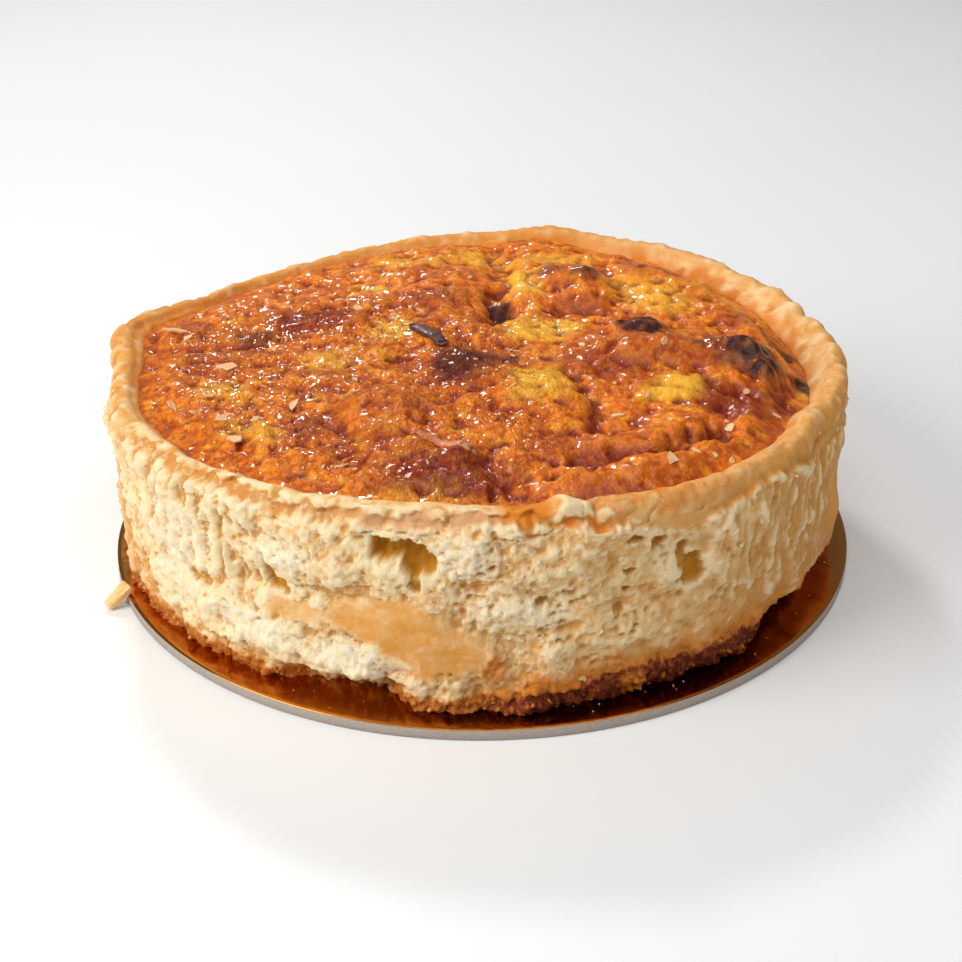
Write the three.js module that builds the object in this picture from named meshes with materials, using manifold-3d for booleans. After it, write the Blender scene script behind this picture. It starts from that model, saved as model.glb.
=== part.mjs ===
// A deep quiche on its round cake card.
// A pastry case with a rolled rim holds a set egg-and-cheese filling with a browned, lumpy top.
// Millimetres, +Z up. The origin is the centre of the card's underside and the front faces -Y.
// A bearing is in degrees anticlockwise from the front: 90 is the right side, -90 is the left.

import * as THREE from 'three';
import { ImprovedNoise } from 'three/addons/math/ImprovedNoise.js';
import { mergeVertices } from 'three/addons/utils/BufferGeometryUtils.js';
import Module from 'manifold-3d';

const wasm = await Module();
wasm.setup();

// ---------------------------------------------------------------- driving dimensions

const CARD_DIAMETER = 203.2;
const CARD_THICKNESS = 3;
const CARD_EDGE_BEVEL = 0.4;
const CARD_SIDES = 96;

const RIM_RADIUS = 96;
const RIM_HEIGHT = 54;
const BODY_RADIUS = 94.5;
const BASE_RADIUS = 93.5;
const HEEL_HEIGHT = 9;
const WALL_THICKNESS = 5.8;
const FLOOR_TOP = CARD_THICKNESS + 5;
const FLOOR_CORNER = 1;
const FIT_GAP = 0.3;

const LIP_DEPTH = 4.5;
const LIP_CROWN_WIDTH = 6.2;
const LIP_SLOPE_WIDTH = 1.8;
const LIP_INNER_DROP = 1.4;

const NECK_LENGTH = 18;

const DOME_HEIGHT = 3.2;
const EDGE_ROLL = 13;

// Unevenness of the dough and the filling: how high the lumps are and how wide.
const RIM_WANDER = [{ height: 0.9, size: 22 }];
const RIM_WAVES = [{ height: 0.8, size: 26 }];
const WALL_RELIEF = [{ height: 1.3, size: 15 }, { height: 0.9, size: 7 }];
const CURD_RELIEF = [{ height: 1.1, size: 13 }, { height: 0.9, size: 6.5 }];

const COLUMNS = 108;
const WALL_LEVELS = 13;
const LIP_STEPS = 5;
const INNER_LEVELS = 4;
const SURFACE_RINGS = 19;

// ---------------------------------------------------------------- named shape features

// Where the rolled rim leaves a true circle: how far out and how much higher it goes, how much
// wider its crown is, and how much wider the slope from the crown down to the filling.
const RIM_FEATURES = [
  { name: 'left corner', bearing: -102, spread: 10, out: 8.5, rise: 1.2, crown: 1, slope: 2 },
  { name: 'left bulge', bearing: -70, spread: 27, out: 4.2, rise: 0, crown: 0.6, slope: 0 },
  { name: 'back left slump', bearing: -135, spread: 24, out: -2.8, rise: -1.8, crown: -1.4, slope: -1.1 },
  { name: 'back left dip', bearing: -154, spread: 9, out: -1, rise: -0.6, crown: -1, slope: -0.5 },
  { name: 'back hump', bearing: 168, spread: 8, out: 1.8, rise: 2, crown: 0, slope: 0 },
  { name: 'back right shoulder', bearing: 148, spread: 20, out: 1.8, rise: 1.2, crown: 0, slope: 0 },
  { name: 'right flare', bearing: 87, spread: 18, out: 2.6, rise: 0, crown: 0, slope: 3.2 },
  { name: 'back right flare', bearing: 118, spread: 24, out: 1.8, rise: 0.6, crown: 0, slope: 3.4 },
  { name: 'right pinch', bearing: 64, spread: 5, out: -2, rise: 0, crown: 0, slope: 0 },
  { name: 'front flat', bearing: 0, spread: 30, out: -2.8, rise: 0.9, crown: 2.2, slope: 0 },
];

// Where the wall below the rim is fuller than the plain round.
const BODY_FEATURES = [
  { name: 'left side', bearing: -85, spread: 32, out: 2 },
  { name: 'right side', bearing: 84, spread: 26, out: 1.8 },
];

// Where the foot of the case is pulled in under the wall, or spreads out.
const FOOT_FEATURES = [
  { name: 'front left undercut', bearing: -20, spread: 6, out: -6 },
  { name: 'front toe', bearing: 4, spread: 7, out: 2 },
  { name: 'front right tuck', bearing: 28, spread: 8, out: -2.5 },
  { name: 'right undercut', bearing: 80, spread: 20, out: -7 },
  { name: 'left spread', bearing: -80, spread: 34, out: 2.6 },
];

// How far the filling has shrunk below the rim, over a base value.
const FILLING_DROP = 1;
const DROP_FEATURES = [
  { name: 'right side', bearing: 92, spread: 24, drop: 4.4 },
  { name: 'back right', bearing: 138, spread: 22, drop: 2.6 },
];

// Holes and hollows in the outside of the wall: width in degrees, height and depth in millimetres.
const WALL_HOLLOWS = [
  { name: 'torn hole', bearing: -11, height: 45.5, wide: 5, tall: 4.5, deep: 3.8 },
  { name: 'left hole', bearing: -32, height: 31, wide: 2.6, tall: 4, deep: 2.2 },
  { name: 'low left hole', bearing: -47, height: 23, wide: 3, tall: 2.6, deep: 1.6 },
  { name: 'right hole', bearing: 31, height: 34.5, wide: 2.6, tall: 4.5, deep: 2.4 },
  { name: 'upper right hole', bearing: 25, height: 43, wide: 2.4, tall: 3, deep: 1.6 },
  { name: 'seam under the rim', bearing: -42, height: 51, wide: 22, tall: 1.8, deep: 1.1 },
  { name: 'shoulder below the right rim', bearing: 33, height: 53, wide: 14, tall: 2.4, deep: 1.3 },
];

// Risen mounds (+) and sunken places (-) of the filling: place, half width and height.
const MOUNDS = [
  { name: 'back left mound', x: -14, y: 42, reach: 17, rise: 3.2 },
  { name: 'back middle mound', x: 26, y: 42, reach: 11, rise: 3 },
  { name: 'back right mound', x: 50, y: 44, reach: 12, rise: 2.6 },
  { name: 'centre mound', x: 15, y: -33, reach: 13, rise: 3 },
  { name: 'front left mound', x: -22, y: -42, reach: 11, rise: 2.6 },
  { name: 'dark middle lump', x: -6, y: -18, reach: 8, rise: 2.4 },
  { name: 'right ridge, inner end', x: 38, y: -8, reach: 13, rise: 2.8 },
  { name: 'right ridge, outer end', x: 68, y: -12, reach: 10, rise: 3.4 },
  { name: 'burnt knob by the right rim', x: 83, y: -24, reach: 4.5, rise: 3 },
  { name: 'knob behind the ridge', x: 44, y: 6, reach: 6, rise: 2.6 },
  { name: 'dark knob at the back', x: 31, y: 42, reach: 4, rise: 1.8 },
  { name: 'front right bulge', x: 44, y: -62, reach: 13, rise: 2.2 },
  { name: 'front right groove', x: 34, y: -47, reach: 7, rise: -2 },
  { name: 'front hollow', x: -1, y: -74, reach: 8, rise: -2.4 },
  { name: 'dip at the back notch', x: 6, y: 70, reach: 8, rise: -2.6 },
  { name: 'pit in the middle', x: 5, y: 20, reach: 6, rise: -3 },
  { name: 'left plain', x: -58, y: -4, reach: 24, rise: -1.4 },
];

// Shreds of cheese that lie on the filling, from one end to the other, a little bowed.
const SHREDS = [
  { name: 'pale shred', from: [-17, -57], to: [-1, -66], thickness: 2.3, bow: 0.6 },
  { name: 'dark shred', from: [-19, 8], to: [-10, -4], thickness: 2.6, bow: 0.8 },
];
const SHRED_STEPS = 6;
const SHRED_SIDES = 6;
const SHRED_PROUD = 0.2;

// Pale flakes of pastry and cheese on the filling, with their widths.
const FLAKES = [
  { x: -84, y: 12, width: 6 },
  { x: -68, y: -12, width: 7 },
  { x: -60, y: -42, width: 5 },
  { x: -77, y: -34, width: 5 },
  { x: -47, y: -36, width: 4.5 },
  { x: -36, y: 22, width: 5 },
  { x: 35, y: -43, width: 5 },
  { x: 48, y: -7, width: 4 },
  { x: 43, y: -67, width: 4 },
  { x: 55, y: -62, width: 4.5 },
  { x: 70, y: -40, width: 4 },
];
const FLAKE_CORNERS = 6;
const FLAKE_NARROWING = 0.75;
const FLAKE_RAGGEDNESS = 0.35;
const FLAKE_THICKNESS = 1.2;
const FLAKE_SUNK = 0.5;
const FLAKE_TILT = 9;

// A broken piece of pastry that lies on the front of the rim, and one that leans on the card.
const RIM_CHIP = { bearing: 11.5, inset: 4.5, width: 10, thickness: 2, tilt: 8, proud: 0.5 };
const LOOSE_CHIP = {
  bearing: -66.7, offset: 2.5, length: 8, width: 5, thickness: 2.4, lean: 31, turn: -144,
};
const CHIP_TAPER = 0.35;
const CHIP_ROUNDING = 0.3;
const CHIP_CRUMBLE = [{ height: 0.5, size: 3 }];

const COLOURS = {
  card: '#9c9287',
  crust: '#e3bf86',
  filling: '#c4641f',
  chip: '#e6c48d',
};

// ---------------------------------------------------------------- small helpers

const degrees = THREE.MathUtils.degToRad;
const lerp = THREE.MathUtils.lerp;
const grain = new ImprovedNoise();

function bearingGap(a, b) {
  return ((a - b + 540) % 360) - 180;
}

function bell(distance, spread) {
  return Math.exp(-((distance / spread) ** 2));
}

function sumAround(features, bearing, key) {
  const parts = features.map((f) => f[key] * bell(bearingGap(bearing, f.bearing), f.spread));
  return parts.reduce((sum, part) => sum + part, 0);
}

function relief(layers, x, y, z) {
  const shift = 0.37;
  const heights = layers.map(({ height, size }) => {
    return height * grain.noise(x / size + shift, y / size + shift, z / size + shift);
  });
  return heights.reduce((sum, height) => sum + height, 0);
}

function pointAt(bearing, radius, height) {
  const angle = degrees(bearing);
  return new THREE.Vector3(radius * Math.sin(angle), -radius * Math.cos(angle), height);
}

function seededRandom(seed) {
  const multiplier = 16807;
  const modulus = 2147483647;
  let state = seed;
  return () => {
    state = (state * multiplier) % modulus;
    return state / modulus;
  };
}

// A closed surface with one column of points for each bearing. Each entry of `rows` gives the
// radius and height of one ring as a function of the bearing; the first and last are on the axis.
function closedTurning(rows) {
  const profile = rows.map((row, index) => new THREE.Vector2(1, index));
  profile[0].x = 0;
  profile[rows.length - 1].x = 0;
  const geometry = new THREE.LatheGeometry(profile, COLUMNS);
  const position = geometry.attributes.position;
  for (let i = 0; i < position.count; i += 1) {
    const column = Math.floor(i / rows.length) % COLUMNS;
    const bearing = (column * 360) / COLUMNS;
    const [radius, height] = rows[i % rows.length](bearing);
    const point = pointAt(bearing, radius, height);
    position.setXYZ(i, point.x, point.y, point.z);
  }
  return geometry;
}

function toSolid(geometry) {
  const bare = geometry.index ? geometry.toNonIndexed() : geometry.clone();
  bare.deleteAttribute('normal');
  bare.deleteAttribute('uv');
  const merged = mergeVertices(bare, 1e-3);
  const corners = merged.index.array;
  const kept = [];
  for (let i = 0; i < corners.length; i += 3) {
    const [a, b, c] = [corners[i], corners[i + 1], corners[i + 2]];
    if (a !== b && b !== c && c !== a) kept.push(a, b, c);
  }
  return new wasm.Manifold(new wasm.Mesh({
    numProp: 3,
    vertProperties: new Float32Array(merged.attributes.position.array),
    triVerts: new Uint32Array(kept),
  }));
}

function toGeometry(solid) {
  const mesh = solid.getMesh();
  const geometry = new THREE.BufferGeometry();
  geometry.setAttribute('position', new THREE.BufferAttribute(mesh.vertProperties, 3));
  geometry.setIndex(new THREE.BufferAttribute(mesh.triVerts, 1));
  geometry.computeVertexNormals();
  return geometry;
}

function joined(core, additions) {
  return toGeometry(additions.reduce((solid, extra) => solid.add(toSolid(extra)), toSolid(core)));
}

// ---------------------------------------------------------------- the rim, wall and filling

function rimRadius(bearing) {
  const point = pointAt(bearing, RIM_RADIUS, 0);
  return RIM_RADIUS + sumAround(RIM_FEATURES, bearing, 'out') + relief(RIM_WANDER, ...point);
}

function rimHeight(bearing) {
  const point = pointAt(bearing, RIM_RADIUS, RIM_HEIGHT);
  return RIM_HEIGHT + sumAround(RIM_FEATURES, bearing, 'rise') + relief(RIM_WAVES, ...point);
}

function crownWidth(bearing) {
  return LIP_CROWN_WIDTH + sumAround(RIM_FEATURES, bearing, 'crown');
}

function slopeWidth(bearing) {
  return LIP_SLOPE_WIDTH + sumAround(RIM_FEATURES, bearing, 'slope');
}

function footRadius(bearing) {
  return BASE_RADIUS + sumAround(FOOT_FEATURES, bearing, 'out');
}

// The body follows the rim's own outline by this share, and is fuller halfway up.
function bodyRadius(bearing) {
  const rimShare = 0.3;
  const fromRim = rimShare * sumAround(RIM_FEATURES, bearing, 'out');
  return BODY_RADIUS + fromRim + sumAround(BODY_FEATURES, bearing, 'out');
}

function hollowDepth(bearing, height) {
  const depths = WALL_HOLLOWS.map((hollow) => {
    const across = bearingGap(bearing, hollow.bearing) / hollow.wide;
    const up = (height - hollow.height) / hollow.tall;
    return hollow.deep * Math.exp(-((across ** 2 + up ** 2) ** 2));
  });
  return Math.max(...depths);
}

function wallRadius(bearing, height) {
  const heel = THREE.MathUtils.smoothstep(height, CARD_THICKNESS, HEEL_HEIGHT);
  const neck = THREE.MathUtils.smoothstep(height, RIM_HEIGHT - NECK_LENGTH, RIM_HEIGHT - LIP_DEPTH);
  const body = lerp(footRadius(bearing), bodyRadius(bearing), heel);
  const smooth = lerp(body, rimRadius(bearing), neck);
  const flakes = relief(WALL_RELIEF, ...pointAt(bearing, smooth, height));
  return smooth + flakes * heel - hollowDepth(bearing, height);
}

function fillingEdgeHeight(bearing) {
  return rimHeight(bearing) - FILLING_DROP - LIP_INNER_DROP - sumAround(DROP_FEATURES, bearing, 'drop');
}

function innerRadius(bearing, height) {
  const share = (height - FLOOR_TOP) / (fillingEdgeHeight(bearing) - FLOOR_TOP);
  const atFloor = bodyRadius(bearing) - WALL_THICKNESS - FLOOR_CORNER;
  const atEdge = rimRadius(bearing) - crownWidth(bearing) - slopeWidth(bearing);
  return lerp(atFloor, atEdge, share);
}

// The rows of the inner wall below the filling's edge, shared by the case and the filling.
function innerLevel(bearing, step) {
  return lerp(fillingEdgeHeight(bearing), FLOOR_TOP, step / INNER_LEVELS);
}

function lipRow(step) {
  const turn = (Math.PI * step) / LIP_STEPS;
  return (bearing) => {
    const outerEdge = wallRadius(bearing, rimHeight(bearing) - LIP_DEPTH);
    const innerEdge = rimRadius(bearing) - crownWidth(bearing);
    const middle = (outerEdge + innerEdge) / 2;
    const reach = (outerEdge - innerEdge) / 2;
    const depth = turn < Math.PI / 2 ? LIP_DEPTH : LIP_INNER_DROP;
    const height = rimHeight(bearing) - depth * (1 - Math.sin(turn));
    return [middle + reach * Math.cos(turn), height];
  };
}

function fillingHeight(x, y) {
  const fromCentre = Math.hypot(x, y) / RIM_RADIUS;
  const dome = RIM_HEIGHT + DOME_HEIGHT * (1 - fromCentre ** 2);
  const mounds = MOUNDS.map((m) => m.rise * bell(Math.hypot(x - m.x, y - m.y), m.reach));
  return dome + relief(CURD_RELIEF, x, y, 0) + mounds.reduce((sum, rise) => sum + rise, 0);
}

// The filling's top, which rolls down to the rim over the last few millimetres.
function surfacePoint(bearing, share) {
  const edge = innerRadius(bearing, fillingEdgeHeight(bearing)) - FIT_GAP;
  const radius = edge * share;
  const point = pointAt(bearing, radius, 0);
  const inside = THREE.MathUtils.smoothstep(edge - radius, 0, EDGE_ROLL);
  const height = lerp(fillingEdgeHeight(bearing), fillingHeight(point.x, point.y), inside);
  return [radius, height];
}

function surfaceAt(x, y) {
  const bearing = THREE.MathUtils.radToDeg(Math.atan2(x, -y));
  const edge = innerRadius(bearing, fillingEdgeHeight(bearing)) - FIT_GAP;
  return surfacePoint(bearing, Math.hypot(x, y) / edge)[1];
}

// ---------------------------------------------------------------- small pieces

// An irregular thin plate, lying in the XY plane with its middle at the origin.
function plate(width, thickness, random) {
  const outline = new THREE.Shape();
  for (let corner = 0; corner < FLAKE_CORNERS; corner += 1) {
    const angle = ((corner + FLAKE_RAGGEDNESS * random()) * 2 * Math.PI) / FLAKE_CORNERS;
    const reach = (width / 2) * (1 - FLAKE_RAGGEDNESS * random());
    const x = reach * Math.cos(angle);
    const y = FLAKE_NARROWING * reach * Math.sin(angle);
    if (corner === 0) outline.moveTo(x, y);
    else outline.lineTo(x, y);
  }
  outline.closePath();
  const geometry = new THREE.ExtrudeGeometry(outline, { depth: thickness, bevelEnabled: false });
  geometry.translate(0, 0, -thickness / 2);
  return geometry;
}

function flakeOnFilling(flake, random) {
  const geometry = plate(flake.width, FLAKE_THICKNESS, random);
  geometry.rotateX(degrees(FLAKE_TILT * (2 * random() - 1)));
  geometry.rotateY(degrees(FLAKE_TILT * (2 * random() - 1)));
  geometry.rotateZ(degrees(360 * random()));
  const height = surfaceAt(flake.x, flake.y) + FLAKE_THICKNESS / 2 - FLAKE_SUNK;
  geometry.translate(flake.x, flake.y, height);
  return geometry;
}

function shredOnFilling(shred) {
  const stops = [];
  for (let step = 0; step <= SHRED_STEPS; step += 1) {
    const along = step / SHRED_STEPS;
    const x = lerp(shred.from[0], shred.to[0], along);
    const bow = shred.bow * Math.sin(Math.PI * along);
    const y = lerp(shred.from[1], shred.to[1], along) + bow;
    stops.push(new THREE.Vector3(x, y, surfaceAt(x, y) + SHRED_PROUD * shred.thickness));
  }
  const section = new THREE.Shape();
  for (let side = 0; side < SHRED_SIDES; side += 1) {
    const angle = (side * 2 * Math.PI) / SHRED_SIDES;
    const x = (shred.thickness / 2) * Math.cos(angle);
    const y = (shred.thickness / 2) * Math.sin(angle);
    if (side === 0) section.moveTo(x, y);
    else section.lineTo(x, y);
  }
  section.closePath();
  const extrudePath = new THREE.CatmullRomCurve3(stops);
  return new THREE.ExtrudeGeometry(section, { steps: SHRED_STEPS, extrudePath });
}

function chipOnRim(random) {
  const { bearing, inset, width, thickness, tilt, proud } = RIM_CHIP;
  const geometry = plate(width, thickness, random);
  geometry.rotateX(degrees(tilt));
  geometry.rotateZ(degrees(bearing));
  geometry.translate(...pointAt(bearing, rimRadius(bearing) - inset, rimHeight(bearing) + proud));
  return geometry;
}

function mesh(name, geometry, colour, roughness) {
  const material = new THREE.MeshStandardMaterial({ color: colour, roughness, metalness: 0 });
  const part = new THREE.Mesh(geometry, material);
  part.name = name;
  return part;
}

// ---------------------------------------------------------------- the sub-parts

function makeCard() {
  const radius = CARD_DIAMETER / 2;
  const profile = [
    new THREE.Vector2(0, 0),
    new THREE.Vector2(radius - CARD_EDGE_BEVEL, 0),
    new THREE.Vector2(radius, CARD_EDGE_BEVEL),
    new THREE.Vector2(radius, CARD_THICKNESS - CARD_EDGE_BEVEL),
    new THREE.Vector2(radius - CARD_EDGE_BEVEL, CARD_THICKNESS),
    new THREE.Vector2(0, CARD_THICKNESS),
  ];
  const geometry = new THREE.LatheGeometry(profile, CARD_SIDES);
  geometry.rotateX(Math.PI / 2);
  return mesh('cake_card', geometry, COLOURS.card, 0.7);
}

function makeCrust(random) {
  const rows = [];
  rows.push(() => [0, CARD_THICKNESS]);
  rows.push((bearing) => [footRadius(bearing) / 2, CARD_THICKNESS]);
  rows.push((bearing) => [footRadius(bearing), CARD_THICKNESS]);
  for (let level = 1; level <= WALL_LEVELS; level += 1) {
    const share = level / (WALL_LEVELS + 1);
    rows.push((bearing) => {
      const height = lerp(CARD_THICKNESS, rimHeight(bearing) - LIP_DEPTH, share);
      return [wallRadius(bearing, height), height];
    });
  }
  for (let step = 0; step <= LIP_STEPS; step += 1) rows.push(lipRow(step));
  for (let step = 0; step <= INNER_LEVELS; step += 1) {
    rows.push((bearing) => {
      const height = innerLevel(bearing, step);
      return [innerRadius(bearing, height), height];
    });
  }
  rows.push(() => [0, FLOOR_TOP]);
  return mesh('crust', joined(closedTurning(rows), [chipOnRim(random)]), COLOURS.crust, 0.8);
}

function makeFilling(random) {
  const floor = FLOOR_TOP + FIT_GAP;
  const rows = [];
  rows.push(() => [0, floor]);
  for (let step = INNER_LEVELS; step > 0; step -= 1) {
    rows.push((bearing) => {
      const height = innerLevel(bearing, step);
      return [innerRadius(bearing, height) - FIT_GAP, Math.max(height, floor)];
    });
  }
  for (let ring = 0; ring < SURFACE_RINGS; ring += 1) {
    const share = 1 - ring / SURFACE_RINGS;
    rows.push((bearing) => surfacePoint(bearing, share));
  }
  rows.push(() => surfacePoint(0, 0));
  const toppings = FLAKES.map((flake) => flakeOnFilling(flake, random));
  toppings.push(...SHREDS.map(shredOnFilling));
  return mesh('filling', joined(closedTurning(rows), toppings), COLOURS.filling, 0.35);
}

// The loose chip stands with its low end on the table and leans on the card's top edge.
function makeLooseChip() {
  const { bearing, offset, length, width, thickness, lean, turn } = LOOSE_CHIP;
  const lengthSteps = 4;
  const widthSteps = 3;
  const geometry = new THREE.BoxGeometry(length, width, thickness, lengthSteps, widthSteps, 1);
  const position = geometry.attributes.position;
  for (let i = 0; i < position.count; i += 1) {
    const [x, y, z] = [position.getX(i), position.getY(i), position.getZ(i)];
    const taper = 1 - CHIP_TAPER * (x / length + 0.5);
    const rounding = 1 - CHIP_ROUNDING * Math.abs(y / width);
    const crumble = relief(CHIP_CRUMBLE, x, y, z);
    position.setXYZ(i, x, y * taper + crumble, z * rounding + crumble);
  }
  geometry.rotateY(degrees(lean));
  geometry.rotateZ(degrees(turn));
  geometry.computeBoundingBox();
  geometry.translate(...pointAt(bearing, CARD_DIAMETER / 2 + offset, -geometry.boundingBox.min.z));
  return mesh('pastry_chip', geometry, COLOURS.chip, 0.8);
}

const random = seededRandom(41);
const quiche = new THREE.Group();
quiche.add(makeCard(), makeCrust(random), makeFilling(random), makeLooseChip());

export default quiche;
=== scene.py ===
"""Quiche on a round cake card: the finished surfaces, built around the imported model.

Run as a script in Blender 4.5. Lengths inside the functions are in millimetres, turned to
metres as a mesh is written. A bearing is in degrees anticlockwise from the front (-Y), seen from
above: 90 is the right side and -90 the left. A height is above the table.
"""

import itertools
import math
from types import SimpleNamespace

import bmesh
import bpy
import numpy as np
from mathutils import Matrix, Vector, noise
from mathutils.bvhtree import BVHTree


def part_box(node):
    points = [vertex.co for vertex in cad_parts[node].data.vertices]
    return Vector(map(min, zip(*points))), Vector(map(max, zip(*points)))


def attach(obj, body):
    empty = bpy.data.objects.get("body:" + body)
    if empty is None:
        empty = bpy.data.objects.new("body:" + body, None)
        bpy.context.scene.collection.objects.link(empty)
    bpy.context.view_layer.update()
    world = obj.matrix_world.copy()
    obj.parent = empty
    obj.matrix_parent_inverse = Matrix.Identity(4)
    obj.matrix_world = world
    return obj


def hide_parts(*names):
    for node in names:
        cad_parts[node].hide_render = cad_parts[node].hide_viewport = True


bl_info = {
    "name": "Quiche on a cake card",
    "version": (1, 0, 0),
    "blender": (4, 5, 0),
    "location": "3D View > Sidebar > Quiche",
    "description": "A deep flaky quiche with a browned cheese top, on its foil-faced card",
    "category": "Add Mesh",
}

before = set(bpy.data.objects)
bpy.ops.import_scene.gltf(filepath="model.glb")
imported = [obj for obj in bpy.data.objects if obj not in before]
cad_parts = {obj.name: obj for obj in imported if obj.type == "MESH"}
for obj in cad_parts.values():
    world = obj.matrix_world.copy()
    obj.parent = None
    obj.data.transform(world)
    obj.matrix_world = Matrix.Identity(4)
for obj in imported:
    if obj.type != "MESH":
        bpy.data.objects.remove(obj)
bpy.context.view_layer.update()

MM = 0.001
FULL_TURN = 2 * math.pi
RANDOM_SEED = 12
CARD_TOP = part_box("cake_card")[1].z / MM
CARD_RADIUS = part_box("cake_card")[1].x / MM
WALL_RADIUS = 94.5
MM_PER_DEGREE = math.pi * WALL_RADIUS / 180
CASE_FLOOR = 5
# Rays towards the case start at this radius, and rays downwards at this height.
FAR_OUT = 130
FAR_UP = 100
DOWN = np.array((0, 0, -1.0))


# ------------------------------------------------------------------ the dough wall, by place

# Holes torn in the wall: bearing, height, half width, half height, depth.
WALL_HOLES = (
    (-12.4, 45.4, 6.2, 2.5, 4.2),
    (-9.0, 42.2, 3.4, 3.3, 3.8),
    (-32.4, 32.6, 1.4, 3.6, 2.4),
    (-30.8, 30.2, 2.8, 1.4, 2.2),
    (-47.0, 22.8, 4.6, 1.2, 1.3),
    (-9.6, 37.0, 1.2, 2.2, 1.6),
    (31.2, 34.0, 3.0, 3.8, 2.8),
    (29.6, 38.6, 1.4, 3.2, 1.8),
    (25.4, 43.2, 2.2, 1.6, 2.0),
    (22.0, 45.6, 1.8, 0.9, 1.4),
    (8.2, 32.6, 1.3, 1.0, 1.4),
    (20.4, 32.2, 1.4, 1.1, 1.4),
    (21.2, 38.2, 1.5, 0.9, 1.3),
    (19.2, 27.8, 1.2, 0.8, 1.0),
    (-38.4, 54.0, 1.4, 1.4, 1.4),
    (-31.0, 55.0, 1.4, 1.2, 1.3),
    (-43.0, 53.0, 1.3, 1.0, 1.2),
    (57.0, 28.5, 3.2, 1.0, 1.0),
)

# Sheets of flaky dough that stand proud: bearing, height, half width, half height, rise.
WALL_SHEETS = (
    (47.0, 37.0, 22.0, 14.5, 1.0),
    (52.0, 22.0, 12.0, 7.0, 0.5),
    (-25.0, 42.0, 14.0, 9.5, 1.0),
    (-48.0, 38.0, 15.0, 13.0, 0.7),
    (-2.0, 44.0, 8.0, 6.0, 0.8),
    (12.0, 40.0, 10.0, 6.5, 0.7),
    (10.0, 30.0, 14.0, 4.0, 0.5),
    (-20.0, 15.0, 15.0, 4.5, 0.7),
    (-42.0, 14.5, 9.0, 5.5, 0.9),
    (-36.0, 24.0, 9.0, 4.5, 0.6),
    (20.0, 23.0, 12.0, 5.0, 0.5),
)

# White crumbly places, and bristly toasted tufts: bearing, height, half width, half height, amount.
WHITE_PLACES = (
    (-18.0, 14.5, 13.0, 4.5, 1.0),
    (-36.0, 17.0, 14.0, 5.0, 1.0),
    (-30.0, 40.0, 8.0, 5.0, 0.8),
    (-50.0, 34.0, 12.0, 10.0, 0.8),
    (-52.0, 18.0, 10.0, 7.0, 0.7),
    (-3.0, 44.0, 6.0, 5.0, 0.7),
    (27.0, 38.0, 5.0, 5.0, 0.8),
    (37.0, 44.0, 10.0, 5.0, 0.6),
    (6.0, 30.0, 12.0, 5.0, 0.5),
)
TUFTS = (
    (1.6, 14.5, 2.8, 4.6, 1.0),
    (22.5, 6.5, 3.4, 3.6, 1.0),
    (6.5, 10.0, 3.0, 2.4, 0.7),
    (12.0, 9.5, 3.6, 2.0, 0.6),
)

# Smooth golden places where the dough lay against the tin: bearing, height, half width, half
# height.
SMOOTH_PLACES = (
    (-14.0, 26.0, 15.0, 6.0),
    (-7.0, 19.0, 13.0, 7.0),
    (-27.0, 25.0, 9.0, 3.0),
    (82.0, 25.0, 22.0, 17.0),
    (124.0, 30.0, 40.0, 16.0),
    (-122.0, 26.0, 30.0, 14.0),
)

# Top edge of the torn sheets: bearing, height. Above it the band under the rim is smooth.
SHEET_EDGE = (
    (-180, 47), (-140, 49), (-100, 46), (-85, 47), (-74, 48), (-62, 50.5), (-50, 51), (-38, 51.5),
    (-28, 50.6), (-20, 51.2), (-14, 50.2), (-8, 50.8), (0, 51.6), (9, 50.6), (17, 50), (24, 48),
    (28, 45.6), (32, 44.4), (36, 47), (40, 49.2), (46, 50.8), (52, 49), (60, 47.4), (68, 45),
    (84, 44), (110, 46), (150, 48), (180, 47),
)

# How golden the rim is, and how toasted: bearing, golden, toasted.
RIM_TONES = (
    (-180, 0.95, 0.10), (-150, 0.9, 0.05), (-120, 1.0, 0.08), (-104, 0.95, 0.3), (-92, 0.95, 0.15),
    (-80, 0.9, 0), (-70, 0.7, 0), (-60, 0.3, 0), (-40, 0.05, 0), (-10, 0.1, 0), (12, 0.2, 0),
    (40, 0.45, 0.03), (70, 0.5, 0.06), (95, 0.4, 0.05), (125, 0.25, 0), (150, 0.45, 0.04),
    (165, 0.95, 0.12), (180, 0.95, 0.10),
)

# Pulled-in places under the wall: bearing, half width, height of the overhang, depth.
UNDERCUTS = (
    (-21.0, 14.0, 8.4, 4.5),
    (72.0, 40.0, 10.5, 5.0),
)

# Torn flakes baked on the front of the rim: bearing, height above the rim's crest, half width,
# half height, rise.
RIM_FLAKES = (
    (13.6, -1.4, 4.2, 2.3, 1.0),
    (17.5, -2.2, 2.2, 1.4, 0.8),
    (3.4, -4.2, 3.8, 2.0, 1.0),
    (8.6, -4.2, 1.7, 1.3, 0.8),
    (1.0, -4.4, 2.2, 1.2, 0.7),
    (10.6, -3.0, 1.2, 1.0, 0.8),
    (-7.0, -3.6, 1.6, 0.9, 0.6),
    (22.0, -5.0, 1.4, 0.9, 0.6),
)

# Stretches of the case: the bearings where each begins, is full, starts to fade and ends.
STRANDS = (-64, -58, -36, -30)
LAYERS = (-8, -2, 30, 36)
WRINKLES = (32, 38, 110, 150)
CALMER_SIDE = (6, 16, 120, 175)
SEAM_UNDER_RIM = (-66, -58, 13, 19)
UPRIGHT_FOLDS = (-104, -92, -70, -62)
KNUCKLED_RIM = (50, 70, 110, 140)
SMOOTHER_RIM = (-76, -66, 0, 8)
OIL_SPILLED = (9, 16, 27, 44)
OIL_LINE = (20, 27, 60, 74)
OIL_STAIN = (-2, 4, 14, 24)
OIL_DRIP = (1, 4, 9, 12)
BROWNED_FOOT = (-6, 9, 130, 170)
# Bearings of the painted shade in the seam under the rim.
SEAM_SHADE_BEARINGS = (-22, -14, 2, 10)

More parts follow.
